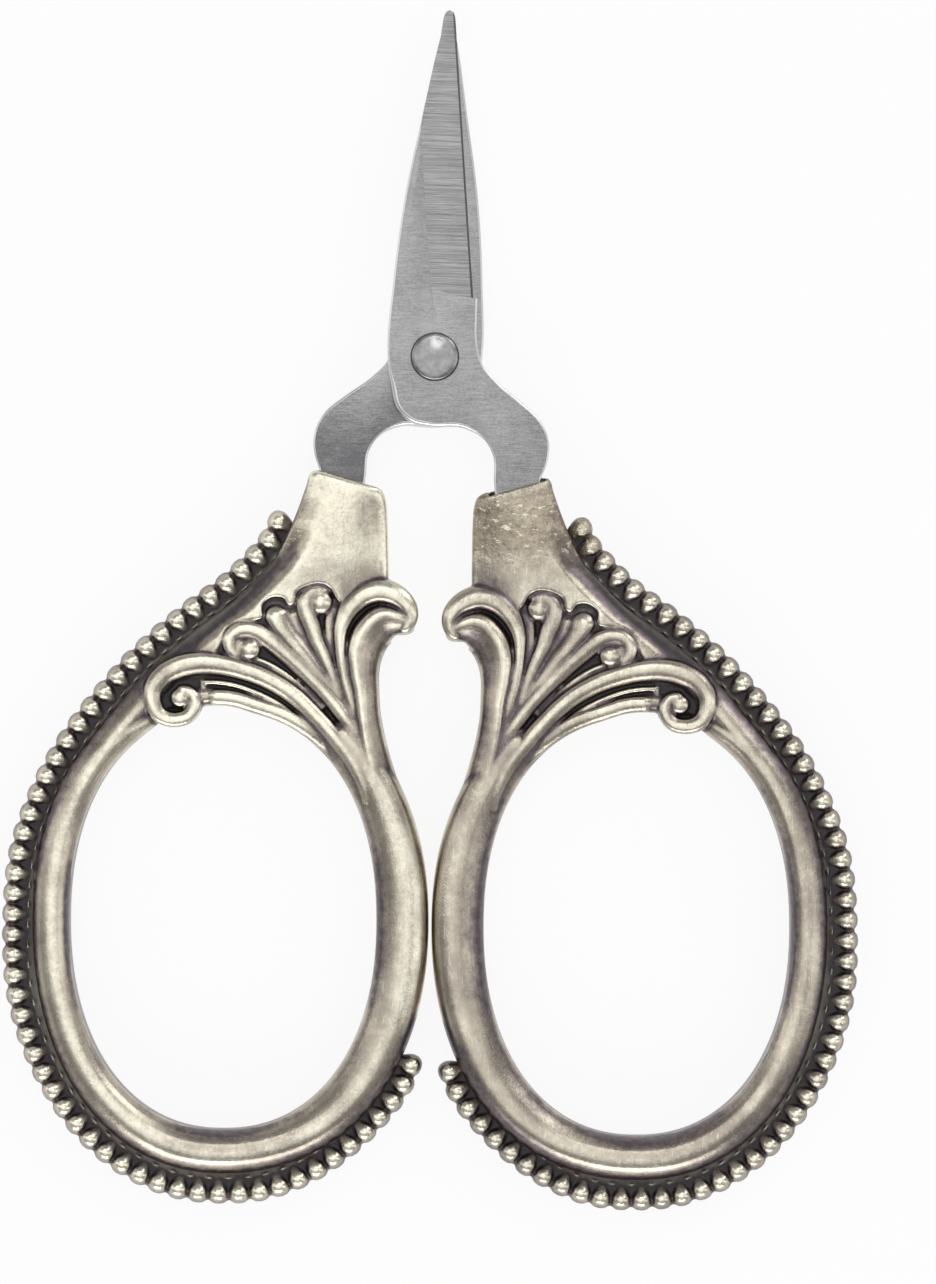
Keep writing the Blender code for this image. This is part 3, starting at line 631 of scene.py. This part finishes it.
GRIND_FOOT = [
    (-4.0, 13.0), (-1.3, 10.95), (-1.17, 10.4), (-0.96, 8.9), (-0.79, 7.4), (-0.7, 5.9), (-0.63, 4.7),
    (-0.55, 4.1), (-0.36, 3.62), (0.1, 3.28), (0.8, 3.09), (1.6, 2.99), (2.6, 2.9),
]


def stamping():
    """The front stamping: its flat inside face just above Z = 0, and its ground bevel outside."""
    tang = [(5.88, -9.6), (5.6, -9.95), (3.9, -10.1), (3.58, -9.85)]
    outline = [
        *smooth_line(CUTTING_EDGE, 60)[:-1], *smooth_line(STAMPING_OUTER, 70), *tang,
        *smooth_line(STAMPING_INNER, 150)[:-1],
    ]
    piece = sheet(outline, PLATE, 0)
    soften_rims(piece, 0.24)
    placed(piece, Matrix.Translation((0, 0, PLATE + PLATE_GAP)))
    grind(piece)
    bpy.ops.mesh.primitive_cylinder_add(vertices=64, radius=HOLE, depth=6, location=(0, 0, 0))
    drill = bpy.context.object
    shaped(piece, "BOOLEAN", operation="DIFFERENCE", object=drill, solver="EXACT")
    bpy.data.objects.remove(drill)
    pick(piece)
    bpy.ops.object.shade_smooth_by_angle(angle=math.radians(28))
    return piece


def soften_rims(piece, width):
    """Rounds the stamping's rims, less and less towards the tip and not at the cutting edge."""
    pick(piece)
    bpy.ops.object.mode_set(mode="EDIT")
    bpy.ops.mesh.select_all(action="SELECT")
    bpy.ops.mesh.dissolve_limited(angle_limit=math.radians(0.2), use_dissolve_boundaries=False)
    bpy.ops.mesh.select_all(action="DESELECT")
    bpy.ops.mesh.edges_select_sharp(sharpness=math.radians(60))
    bpy.ops.object.mode_set(mode="OBJECT")
    points = points_of(piece)
    weight = piece.data.attributes.new("bevel_weight_edge", "FLOAT", "EDGE")
    for edge in piece.data.edges:
        one, other = points[edge.vertices[0]], points[edge.vertices[1]]
        u, v = (one[:2] + other[:2]) / 2
        on_rim = edge.select and abs(one[2] - other[2]) < 0.01
        on_cutting_edge = v >= 3.1 and u >= -0.02
        if on_rim and not on_cutting_edge:
            near_fork = 1 - float(rise(math.hypot(u + 1.5, v + 2.9), 1.0, 2.6))
            under_fork = 1 - float(rise(math.hypot((u - 0.8) / 1.7, v + 3.5), 0.4, 1.2))
            near_shoulder = 1 - float(rise(math.hypot(u - 4.4, v + 1.8), 0.8, 2.4))
            wide = 0.36 + 0.64 * max(near_fork, 0.75 * under_fork) + 0.16 * near_shoulder
            weight.data[edge.index].value = wide * float(rise(TIP - v, 0.1, 2.5))
    shaped(piece, "BEVEL", limit_method="WEIGHT", width=width, segments=4, use_clamp_overlap=False)


def grind(piece):
    """Takes the wedge off the outside of the blade, then the narrow honed wedge off its edge."""
    foot, tip = np.array((1.63, 4.3)), np.array((0.26, TIP))
    along = (tip - foot) / np.linalg.norm(tip - foot)
    for level, slope in (GROUND_WEDGE, HONED_WEDGE):
        wedge = sheet([*smooth_line(GRIND_FOOT, 120), (2.6, 19.0), (-4.0, 19.0)], 1.0, 0)
        points = points_of(wedge)
        off_edge = (points[:, 1] - foot[1]) * along[0] - (points[:, 0] - foot[0]) * along[1]
        points[:, 2] = np.where(points[:, 2] > 0, 9.0, level + slope * off_edge)
        move_points(wedge, points)
        shaped(piece, "BOOLEAN", operation="DIFFERENCE", object=wedge, solver="EXACT")
        bpy.data.objects.remove(wedge)


def rivet():
    """A turned profile: a low domed head with a softened rim in front, the peened end behind."""
    seat = 1.05
    profile = [
        (0, seat + 0.32), (0.5, seat + 0.316), (0.9, seat + 0.3), (1.08, seat + 0.275),
        (1.16, seat + 0.22), (1.19, seat + 0.14), (1.2, seat + 0.05), (1.19, seat), (SHANK, seat),
        (SHANK, -seat), (1.06, -seat), (1.1, -seat - 0.05), (1.07, -seat - 0.16), (0.9, -seat - 0.25),
        (0.5, -seat - 0.3), (0, -seat - 0.32),
    ]
    mesh = bpy.data.meshes.new("rivet")
    mesh.from_pydata([(x, 0, z) for x, z in profile], [(i, i + 1) for i in range(len(profile) - 1)], [])
    piece = bpy.data.objects.new("rivet", mesh)
    bpy.context.scene.collection.objects.link(piece)
    shaped(piece, "SCREW", steps=72, render_steps=72, use_merge_vertices=True, merge_threshold=MERGED)
    facing_out(piece)
    bpy.ops.object.shade_smooth_by_angle(angle=math.radians(40))
    return piece


# Wear and painted light, read from the finished shape

def mark_wear_and_light(piece, voxel, floor, top, shelter):
    """Writes at each vertex how hollow, level and raised the skin is, and its wear and painted light.

    Smoothing a copy of the skin shows ridges by what sinks in few rounds, and hollows by what fills in
    many. Raised runs from the recesses' floor to the top. Shelter lowers the wear mark over a whole piece.
    """
    ridge_reach, hollow_reach = 0.15, 0.5
    small, large = round((ridge_reach / voxel) ** 2), round((hollow_reach / voxel) ** 2)
    mesh = piece.data
    start = points_of(piece)
    edges = np.empty(len(mesh.edges) * 2, int)
    mesh.edges.foreach_get("vertices", edges)
    one, other = edges.reshape(-1, 2).T
    ends = np.concatenate([one, other])
    others = np.concatenate([other, one])
    number = np.bincount(ends, minlength=len(start))[:, None]
    normal = np.empty(len(start) * 3)
    mesh.vertex_normals.foreach_get("vector", normal)
    normal = normal.reshape(-1, 3)
    points = start.copy()
    depth = {}
    for step in range(1, large + 1):
        sums = [np.bincount(ends, points[others, k], len(start)) for k in range(3)]
        points = (points + np.stack(sums, axis=1) / number) / 2
        if step in (small, large):
            depth[step] = ((points - start) * normal).sum(axis=1)
    hollow = np.clip(depth[large] / 0.22, -0.25, 1)
    ridge = np.clip(-depth[small] / 0.05, -1, 1)
    level = np.abs(normal[:, 2])
    rail = bead_rail(COARSE_RAIL)
    gap = np.min([np.hypot(start[:, 0] - u, start[:, 1] - v) for u, v in rail], axis=0)
    handled = np.clip(0.82 - level, 0, 1) * rise(-hollow, 0, 0.2) * rise(gap, 1.7, 2.3)
    # The rubbed mark is wear with painted light: level faces and ridges come out lighter, slopes and the
    # band beside the beads darker as painted shade, and hollows darker where the oxide stays.
    marks = {
        "hollow": hollow,
        "level": level,
        "raised": np.clip((np.abs(start[:, 2]) - floor) / (top - floor), 0, 1),
        "rubbed_and_lit": level + handled + ridge * 0.3 - hollow * 1.2 - shelter - 0.32 * (1 - rise(gap, 0.9, 1.9)),
    }
    for name, values in marks.items():
        mesh.attributes.new(name, "FLOAT", "POINT").data.foreach_set("value", values.astype(np.float32))


# Materials

class Socket:
    """A node's output that can be used in sums."""

    def __init__(self, tree, link):
        self.tree = tree
        self.link = link

    def maths(self, operation, *values, clamp=False):
        return self.tree.add("ShaderNodeMath", {"operation": operation, "use_clamp": clamp}, *values)

    def __add__(self, other):
        return self.maths("ADD", self, other)

    def __sub__(self, other):
        return self.maths("SUBTRACT", self, other)

    def __rsub__(self, other):
        return self.maths("SUBTRACT", other, self)

    def __mul__(self, other):
        return self.maths("MULTIPLY", self, other)

    def clamped(self):
        return self.maths("ADD", self, 0.0, clamp=True)

    __radd__ = __add__
    __rmul__ = __mul__


class Finish:
    """A material's node tree, with short ways to add the nodes that a finish needs."""

    def __init__(self, name):
        self.material = bpy.data.materials.new(name)
        self.material.use_nodes = True
        self.nodes = self.material.node_tree.nodes
        self.links = self.material.node_tree.links
        self.shader = self.nodes["Principled BSDF"]
        self.place = self.add("ShaderNodeTexCoord", {}, output="Object")

    def feed(self, node, key, value):
        if isinstance(value, Socket):
            self.links.new(value.link, node.inputs[key])
        else:
            node.inputs[key].default_value = value

    def add(self, kind, settings, *values, output=0, **named):
        node = self.nodes.new(kind)
        for name, value in settings.items():
            setattr(node, name, value)
        for key, value in [*enumerate(values), *named.items()]:
            self.feed(node, key, value)
        return Socket(self, node.outputs[output])

    def mark(self, name):
        """An attribute that the mesh carries."""
        return self.add("ShaderNodeAttribute", {"attribute_name": name}, output="Fac")

    def part_of(self, axis):
        """One of the place's coordinates, in metres."""
        return self.add("ShaderNodeSeparateXYZ", {}, self.place, output=axis)

    def noise(self, size, stretch=(1, 1, 1), detail=3.0, rough=0.55, shift=0.0, warp=0.0):
        """Noise whose features are about the given number of millimetres across."""
        shrunk = tuple(1 / k for k in stretch)
        moved = self.add(
            "ShaderNodeMapping", {}, Vector=self.place, Scale=shrunk, Location=(shift, shift, shift)
        )
        return self.add(
            "ShaderNodeTexNoise", {},
            Vector=moved, Scale=1 / (size * MM), Detail=detail, Roughness=rough, Distortion=warp,
        )

    def step(self, value, low, high):
        """0 at low, 1 at high, and a smooth step between them, whichever is the larger."""
        smooth = {"interpolation_type": "SMOOTHSTEP"}
        return self.add("ShaderNodeMapRange", smooth, value, low, high, 0.0, 1.0)

    def blend(self, share, one, other):
        node = self.nodes.new("ShaderNodeMix")
        node.data_type = "RGBA"
        self.feed(node, 0, share)
        self.feed(node, 6, one if isinstance(one, Socket) else (*one, 1))
        self.feed(node, 7, other if isinstance(other, Socket) else (*other, 1))
        return Socket(self, node.outputs[2])

    def bump(self, height, depth):
        """A bump of the given depth in millimetres."""
        return self.add("ShaderNodeBump", {}, Height=height, Distance=depth * MM, Strength=1.0)

    def set(self, **values):
        for name, value in values.items():
            self.feed(self.shader, name.replace("_", " "), value)
        return self.material


def antique_brass(name, shift, mottle, polish, clean):
    """Cast brass, dark with oxide, pale where hands and cloth reach, with painted shade and highlights."""
    finish = Finish(name)
    hollow = finish.mark("hollow")
    level = finish.mark("level")
    raised = finish.mark("raised")
    cloud = finish.noise(2.2, shift=shift, detail=3)
    patch = finish.noise(0.4, shift=shift + 3, detail=5, rough=0.65)
    grain = finish.noise(0.09, shift=shift, detail=3, rough=0.7)
    streak = finish.noise(0.11, stretch=(1, 7, 1), shift=shift, detail=3, warp=0.4)
    lump = finish.noise(0.3, shift=shift + 5, detail=4, rough=0.6)
    on_collar = finish.step(finish.part_of("Y"), 1.5 * MM, 4.0 * MM)
    rubbed_and_lit = (
        finish.mark("rubbed_and_lit") + clean + (cloud - 0.5) * 0.3 + (patch - 0.5) * 0.35
        + (grain - 0.5) * 0.24 + (lump - 0.5) * on_collar * mottle + on_collar * polish
    )
    # The worn mask shows brass through the dark oxide, as wear and as painted light: slopes get less of it
    # and fall dark as painted shade.
    worn_and_lit = finish.step(rubbed_and_lit, 0.68, 1.14)
    # Crests made paler still, a painted highlight laid over the wear.
    bright = finish.step(rubbed_and_lit, 1.1, 1.48)
    # Near black in the hollows, which is oxide, and on the low web floor between the leaves, which is
    # painted shade.
    deep_patina_and_shade = (finish.step(hollow, 0.14, 0.5) + (1 - raised) * finish.step(level, 0.55, 0.9) * 0.9).clamped()
    # Colours where that mask is low: oxide in the hollows, and painted shade on the slopes.
    patina_and_shade = finish.blend(finish.step(patch, 0.3, 0.75), (0.11, 0.09, 0.097), (0.19, 0.16, 0.165))
    brass = finish.blend(finish.step(cloud, 0.3, 0.7), (0.38, 0.335, 0.28), (0.5, 0.45, 0.365))
    colour = finish.blend(worn_and_lit, patina_and_shade, brass)
    colour = finish.blend(bright, colour, (0.82, 0.785, 0.65))
    colour = finish.blend(finish.step(streak, 0.55, 0.85) * worn_and_lit * 0.5, colour, (0.86, 0.83, 0.7))
    # Pale flecks on the right collar, painted glints of light, also raised a little by the bump.
    glint_noise = finish.noise(0.22, stretch=(2.0, 1, 1), shift=shift + 9, detail=3)
    collar_glint = finish.step(glint_noise, 0.59, 0.65) * on_collar
    colour = finish.blend(on_collar * mottle * 0.35, colour, (0.36, 0.29, 0.18))
    colour = finish.blend(collar_glint * mottle * 0.75, colour, (0.9, 0.85, 0.68))
    colour = finish.blend(deep_patina_and_shade, colour, (0.02, 0.016, 0.016))
    roughness = 0.32 - worn_and_lit * 0.09 + (grain - 0.5) * 0.16 + deep_patina_and_shade * 0.15
    relief = grain * 0.4 + streak * 0.35 + (lump * 5.0 + collar_glint * 1.5) * on_collar * mottle
    return finish.set(
        Base_Color=colour, Metallic=1 - deep_patina_and_shade * 0.85, Roughness=roughness,
        Normal=finish.bump(relief, 0.022),
    )


def rolled_steel(name, shift, shade):
    """The stampings' flats: grey, finely scratched and flecked, and darker towards the tangs as painted
    shade.
    """
    finish = Finish(name)
    line = finish.noise(0.05, stretch=(12, 1, 1), shift=shift, detail=4, rough=0.7)
    cross = finish.noise(0.06, stretch=(1, 8, 1), shift=shift + 1, detail=3)
    fleck = finish.noise(0.11, shift=shift + 2, detail=4, rough=0.7)
    cloud = finish.noise(2.2, shift=shift, detail=3)
    # Painted shade that darkens the flats towards the tangs, more on the rear stamping.
    tang_shade = finish.step(finish.part_of("Y"), 12.5 * MM, 7.5 * MM) * shade
    tone = (cloud - 0.5) * 0.4 + (line - 0.5) * 1.0 + (fleck - 0.5) * 0.8 + 0.5 - tang_shade
    colour = finish.blend(finish.step(tone, -0.2, 0.9), (0.12, 0.12, 0.125), (0.42, 0.42, 0.42))
    relief = line * 0.6 + cross * 0.2 + fleck * 0.5
    return finish.set(
        Base_Color=colour, Metallic=1.0, Roughness=0.34 + (fleck - 0.5) * 0.2,
        Normal=finish.bump(relief, 0.006),
    )


def shadowed_honed_steel(name):
    """The narrow honed wedge of the cutting edge, painted dark as the shadow line along that edge."""
    finish = Finish(name)
    fleck = finish.noise(0.1, detail=3)
    colour = finish.blend(fleck, (0.06, 0.06, 0.062), (0.15, 0.15, 0.15))
    return finish.set(Base_Color=colour, Metallic=0.6, Roughness=0.5 + (fleck - 0.5) * 0.2)


def rim_steel(name):
    """The stampings' rounded rims, which tumbling has polished, made paler too as a painted highlight."""
    finish = Finish(name)
    fleck = finish.noise(0.15, detail=3)
    colour = finish.blend(fleck, (0.56, 0.56, 0.56), (0.72, 0.72, 0.72))
    return finish.set(Base_Color=colour, Metallic=1.0, Roughness=0.3 + (fleck - 0.5) * 0.1)


def ground_steel(name):
    """The ground bevel, with the wheel's fine lines across the blade."""
    finish = Finish(name)
    line = finish.noise(0.055, stretch=(70, 1, 70), detail=3, rough=0.8)
    broad = finish.noise(0.4, stretch=(14, 1, 14), shift=4, detail=2)
    tone = (line - 0.5) * 1.6 + (broad - 0.5) * 0.25 + 0.5
    colour = finish.blend(finish.step(tone, 0.1, 0.9), (0.22, 0.22, 0.225), (0.51, 0.51, 0.51))
    return finish.set(
        Base_Color=colour, Metallic=1.0, Roughness=0.36 + (broad - 0.5) * 0.1,
        Normal=finish.bump(line, 0.012),
    )


def headed_steel(name, centre):
    """The rivet's head, peened, with a painted highlight and a painted shadow at its rim. The centre is in
    metres.
    """
    finish = Finish(name)
    patch = finish.noise(0.4, detail=4, rough=0.6)
    fleck = finish.noise(0.08, detail=3, rough=0.7, shift=2)
    flat = finish.add("ShaderNodeVectorMath", {"operation": "MULTIPLY"}, finish.place, (1.0, 1.0, 0.0))
    distance = {"operation": "DISTANCE"}
    out = finish.add("ShaderNodeVectorMath", distance, flat, (*centre, 0.0), output="Value")
    # Centre of a painted highlight near the top of the head.
    spot = (centre[0] + 0.12 * MM, centre[1] + 0.72 * MM, 0.0)
    off_spot = finish.add("ShaderNodeVectorMath", distance, flat, spot, output="Value")
    colour = finish.blend(finish.step(patch, 0.3, 0.7), (0.24, 0.24, 0.24), (0.36, 0.36, 0.355))
    # The painted highlight, broken up by the patch noise.
    rubbed_and_lit = finish.step(off_spot, 0.5 * MM, 0.1 * MM) * finish.step(patch, 0.2, 0.6)
    colour = finish.blend(rubbed_and_lit, colour, (0.7, 0.7, 0.7))
    # A thin dark ring round the head's edge, a painted contact shadow.
    colour = finish.blend(finish.step(out, 1.1 * MM, 1.17 * MM), colour, (0.05, 0.048, 0.048))
    return finish.set(
        Base_Color=colour, Metallic=1.0, Roughness=0.3 + (patch - 0.5) * 0.25,
        Normal=finish.bump(patch * 0.9 + fleck * 0.4, 0.012),
    )


# Putting the pieces in place

def dress(piece, node, body, slot, *materials):
    """Gives a piece its materials, and says what it rides on and what it replaces."""
    piece.data.materials.clear()
    for material in materials:
        piece.data.materials.append(material)
    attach(piece, body)
    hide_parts(node)
    return piece


def add_handles():
    """Both castings, with the finger openings where the CAD handles have theirs."""
    right_low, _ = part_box("right_handle")
    left_low, left_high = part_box("left_handle")
    reach_in = OPENING[0] + RING["inner"]
    right = Matrix.Translation((right_low.x + reach_in * MM, right_low.y + REACH_DOWN * MM, MIDDLE * MM))
    left = Matrix.Translation((left_high.x - reach_in * MM, left_low.y + REACH_DOWN * MM, MIDDLE * MM))
    body = casting()
    mark_wear_and_light(body, VOXEL, floor=0.78, top=0.98, shelter=0.0)
    rim = beading()
    mark_wear_and_light(rim, FINE_VOXEL, floor=0.42, top=0.78, shelter=-0.34)
    for form, word in ((body, "casting"), (rim, "beading")):
        other = copied(form, f"left_{word}")
        placed(form, right @ TO_METRES)
        placed(other, left @ TURNED_OVER @ TO_METRES)
        dress(form, "right_handle", "front_arm", "right_brass", BRASS["right"])
        dress(other, "left_handle", "rear_arm", "left_brass", BRASS["left"])


def finish_of_face(tilt):
    """A stamping's finish by how level a face lies, as the slopes of the two wedges leave it."""
    if tilt > 0.99:
        return FLAT
    if 0.9 < tilt < 0.94:
        return GROUND
    if 0.62 < tilt < 0.66:
        return HONED
    return RIM


def add_blades():
    """Both stampings and the rivet, about the middle of the CAD rivet."""
    low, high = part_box("pivot_rivet")
    pivot = Matrix.Translation(((low.x + high.x) / 2, (low.y + high.y) / 2, MIDDLE * MM))
    lean = Matrix.Rotation(math.radians(-CLOSED_LEAN), 4, "Z")
    front = stamping()
    front.name = "front_stamping"
    rear = copied(front, "rear_stamping")
    placed(front, pivot @ lean @ TO_METRES)
    placed(rear, pivot @ lean @ TURNED_OVER @ TO_METRES)
    others = (STEEL["ground"], STEEL["rim"], STEEL["honed"])
    dress(front, "front_blade", "front_arm", "front_steel", STEEL["front"], *others)
    dress(rear, "rear_blade", "rear_arm", "rear_steel", STEEL["rear"], *others)
    for piece in (front, rear):
        for face in piece.data.polygons:
            face.material_index = finish_of_face(abs(face.normal.z))
    head = placed(rivet(), pivot @ TO_METRES)
    head_steel = headed_steel("rivet_head_steel", pivot.translation[:2])
    dress(head, "pivot_rivet", "rear_arm", "rivet_steel", head_steel)


def add_floor():
    """A pale floor that looks white to the camera and keeps some of the scissors' shadow."""
    bpy.ops.mesh.primitive_circle_add(vertices=96, radius=1.6, fill_type="NGON", location=(0, 0, -0.00005))
    floor = bpy.context.object
    floor.name = "floor"
    finish = Finish("pale_floor")
    finish.set(Base_Color=(0.86, 0.86, 0.86, 1), Roughness=0.8, Specular_IOR_Level=0.2)
    ray = finish.add("ShaderNodeLightPath", {}, output="Is Camera Ray")
    glossy = finish.add("ShaderNodeLightPath", {}, output="Is Glossy Ray")
    passing = finish.add("ShaderNodeLightPath", {}, output="Is Transmission Ray")
    glow = finish.add("ShaderNodeEmission", {}, (1, 1, 1, 1), 1.0)
    lit = Socket(finish, finish.shader.outputs[0])
    mixed = finish.add("ShaderNodeMixShader", {}, (ray + glossy + passing).clamped() * 0.9, lit, glow)
    finish.links.new(mixed.link, finish.nodes["Material Output"].inputs["Surface"])
    floor.data.materials.append(finish.material)


def add_world():
    """Light from all round that is bright at the horizon and grey above."""
    world = bpy.data.worlds.new("studio")
    bpy.context.scene.world = world
    world.use_nodes = True
    nodes, links = world.node_tree.nodes, world.node_tree.links
    place = nodes.new("ShaderNodeTexCoord")
    parts = nodes.new("ShaderNodeSeparateXYZ")
    ramp = nodes.new("ShaderNodeValToRGB")
    links.new(place.outputs["Generated"], parts.inputs[0])
    links.new(parts.outputs["Z"], ramp.inputs[0])
    links.new(ramp.outputs[0], nodes["Background"].inputs[0])
    stops = ramp.color_ramp.elements
    stops[0].position, stops[0].color = 0.12, (0.95, 0.95, 0.95, 1)
    stops[1].position, stops[1].color = 0.42, (0.36, 0.36, 0.36, 1)


def add_lamps():
    """Softboxes above and round the scissors: place, width, length and radiance."""
    lamp("overhead_softbox", (-0.04, 0.03, 0.5), 0.4, 0.4, 1.0)
    lamp("top_strip", (0.03, 0.26, 0.5), 0.3, 0.07, 3.0)
    lamp("left_strip", (-0.5, 0.12, 0.38), 0.16, 0.6, 1.2)
    lamp("right_strip", (0.5, -0.05, 0.42), 0.2, 0.6, 1.3)
    lamp("low_front_strip", (-0.05, -0.55, 0.3), 0.7, 0.22, 3.6)
    lamp("low_right_strip", (0.42, 0.42, 0.3), 0.22, 0.5, 2.6)


def lamp(name, place, width, length, radiance):
    """A rectangular softbox that faces the object, with the brightness of its face."""
    data = bpy.data.lights.new(name, "AREA")
    data.shape = "RECTANGLE"
    data.size = width
    data.size_y = length
    data.energy = radiance * math.pi * width * length
    made = bpy.data.objects.new(name, data)
    made.location = place
    made.rotation_euler = Vector(place).to_track_quat("Z", "Y").to_euler()
    bpy.context.scene.collection.objects.link(made)


def add_camera():
    """Straight above the scissors, a little to the right of and below their middle."""
    distance = 0.3
    data = bpy.data.cameras.new("camera")
    data.sensor_width = 36
    half_seen = PHOTO_HEIGHT / PIXELS_PER_MM / 2 * MM
    data.lens = data.sensor_width / 2 * distance / half_seen
    made = bpy.data.objects.new("camera", data)
    made.location = (PHOTO_MIDDLE[0] * MM, PHOTO_MIDDLE[1] * MM, MIDDLE * MM + distance)
    bpy.context.scene.collection.objects.link(made)
    bpy.context.scene.camera = made


bpy.context.scene.view_settings.view_transform = "Standard"
BRASS = {
    "right": antique_brass("right_antique_brass", shift=0.0, mottle=0.9, polish=-0.06, clean=0.0),
    "left": antique_brass("left_antique_brass", shift=7.0, mottle=0.25, polish=0.14, clean=0.1),
}
STEEL = {
    "front": rolled_steel("front_rolled_steel", shift=0.0, shade=0.15),
    "rear": rolled_steel("rear_rolled_steel", shift=5.0, shade=0.45),
    "ground": ground_steel("ground_bevel_steel"),
    "rim": rim_steel("polished_rim_steel_with_painted_highlight"),
    "honed": shadowed_honed_steel("honed_edge_painted_shadow"),
}
add_floor()
add_world()
add_lamps()
add_camera()
add_handles()
add_blades()
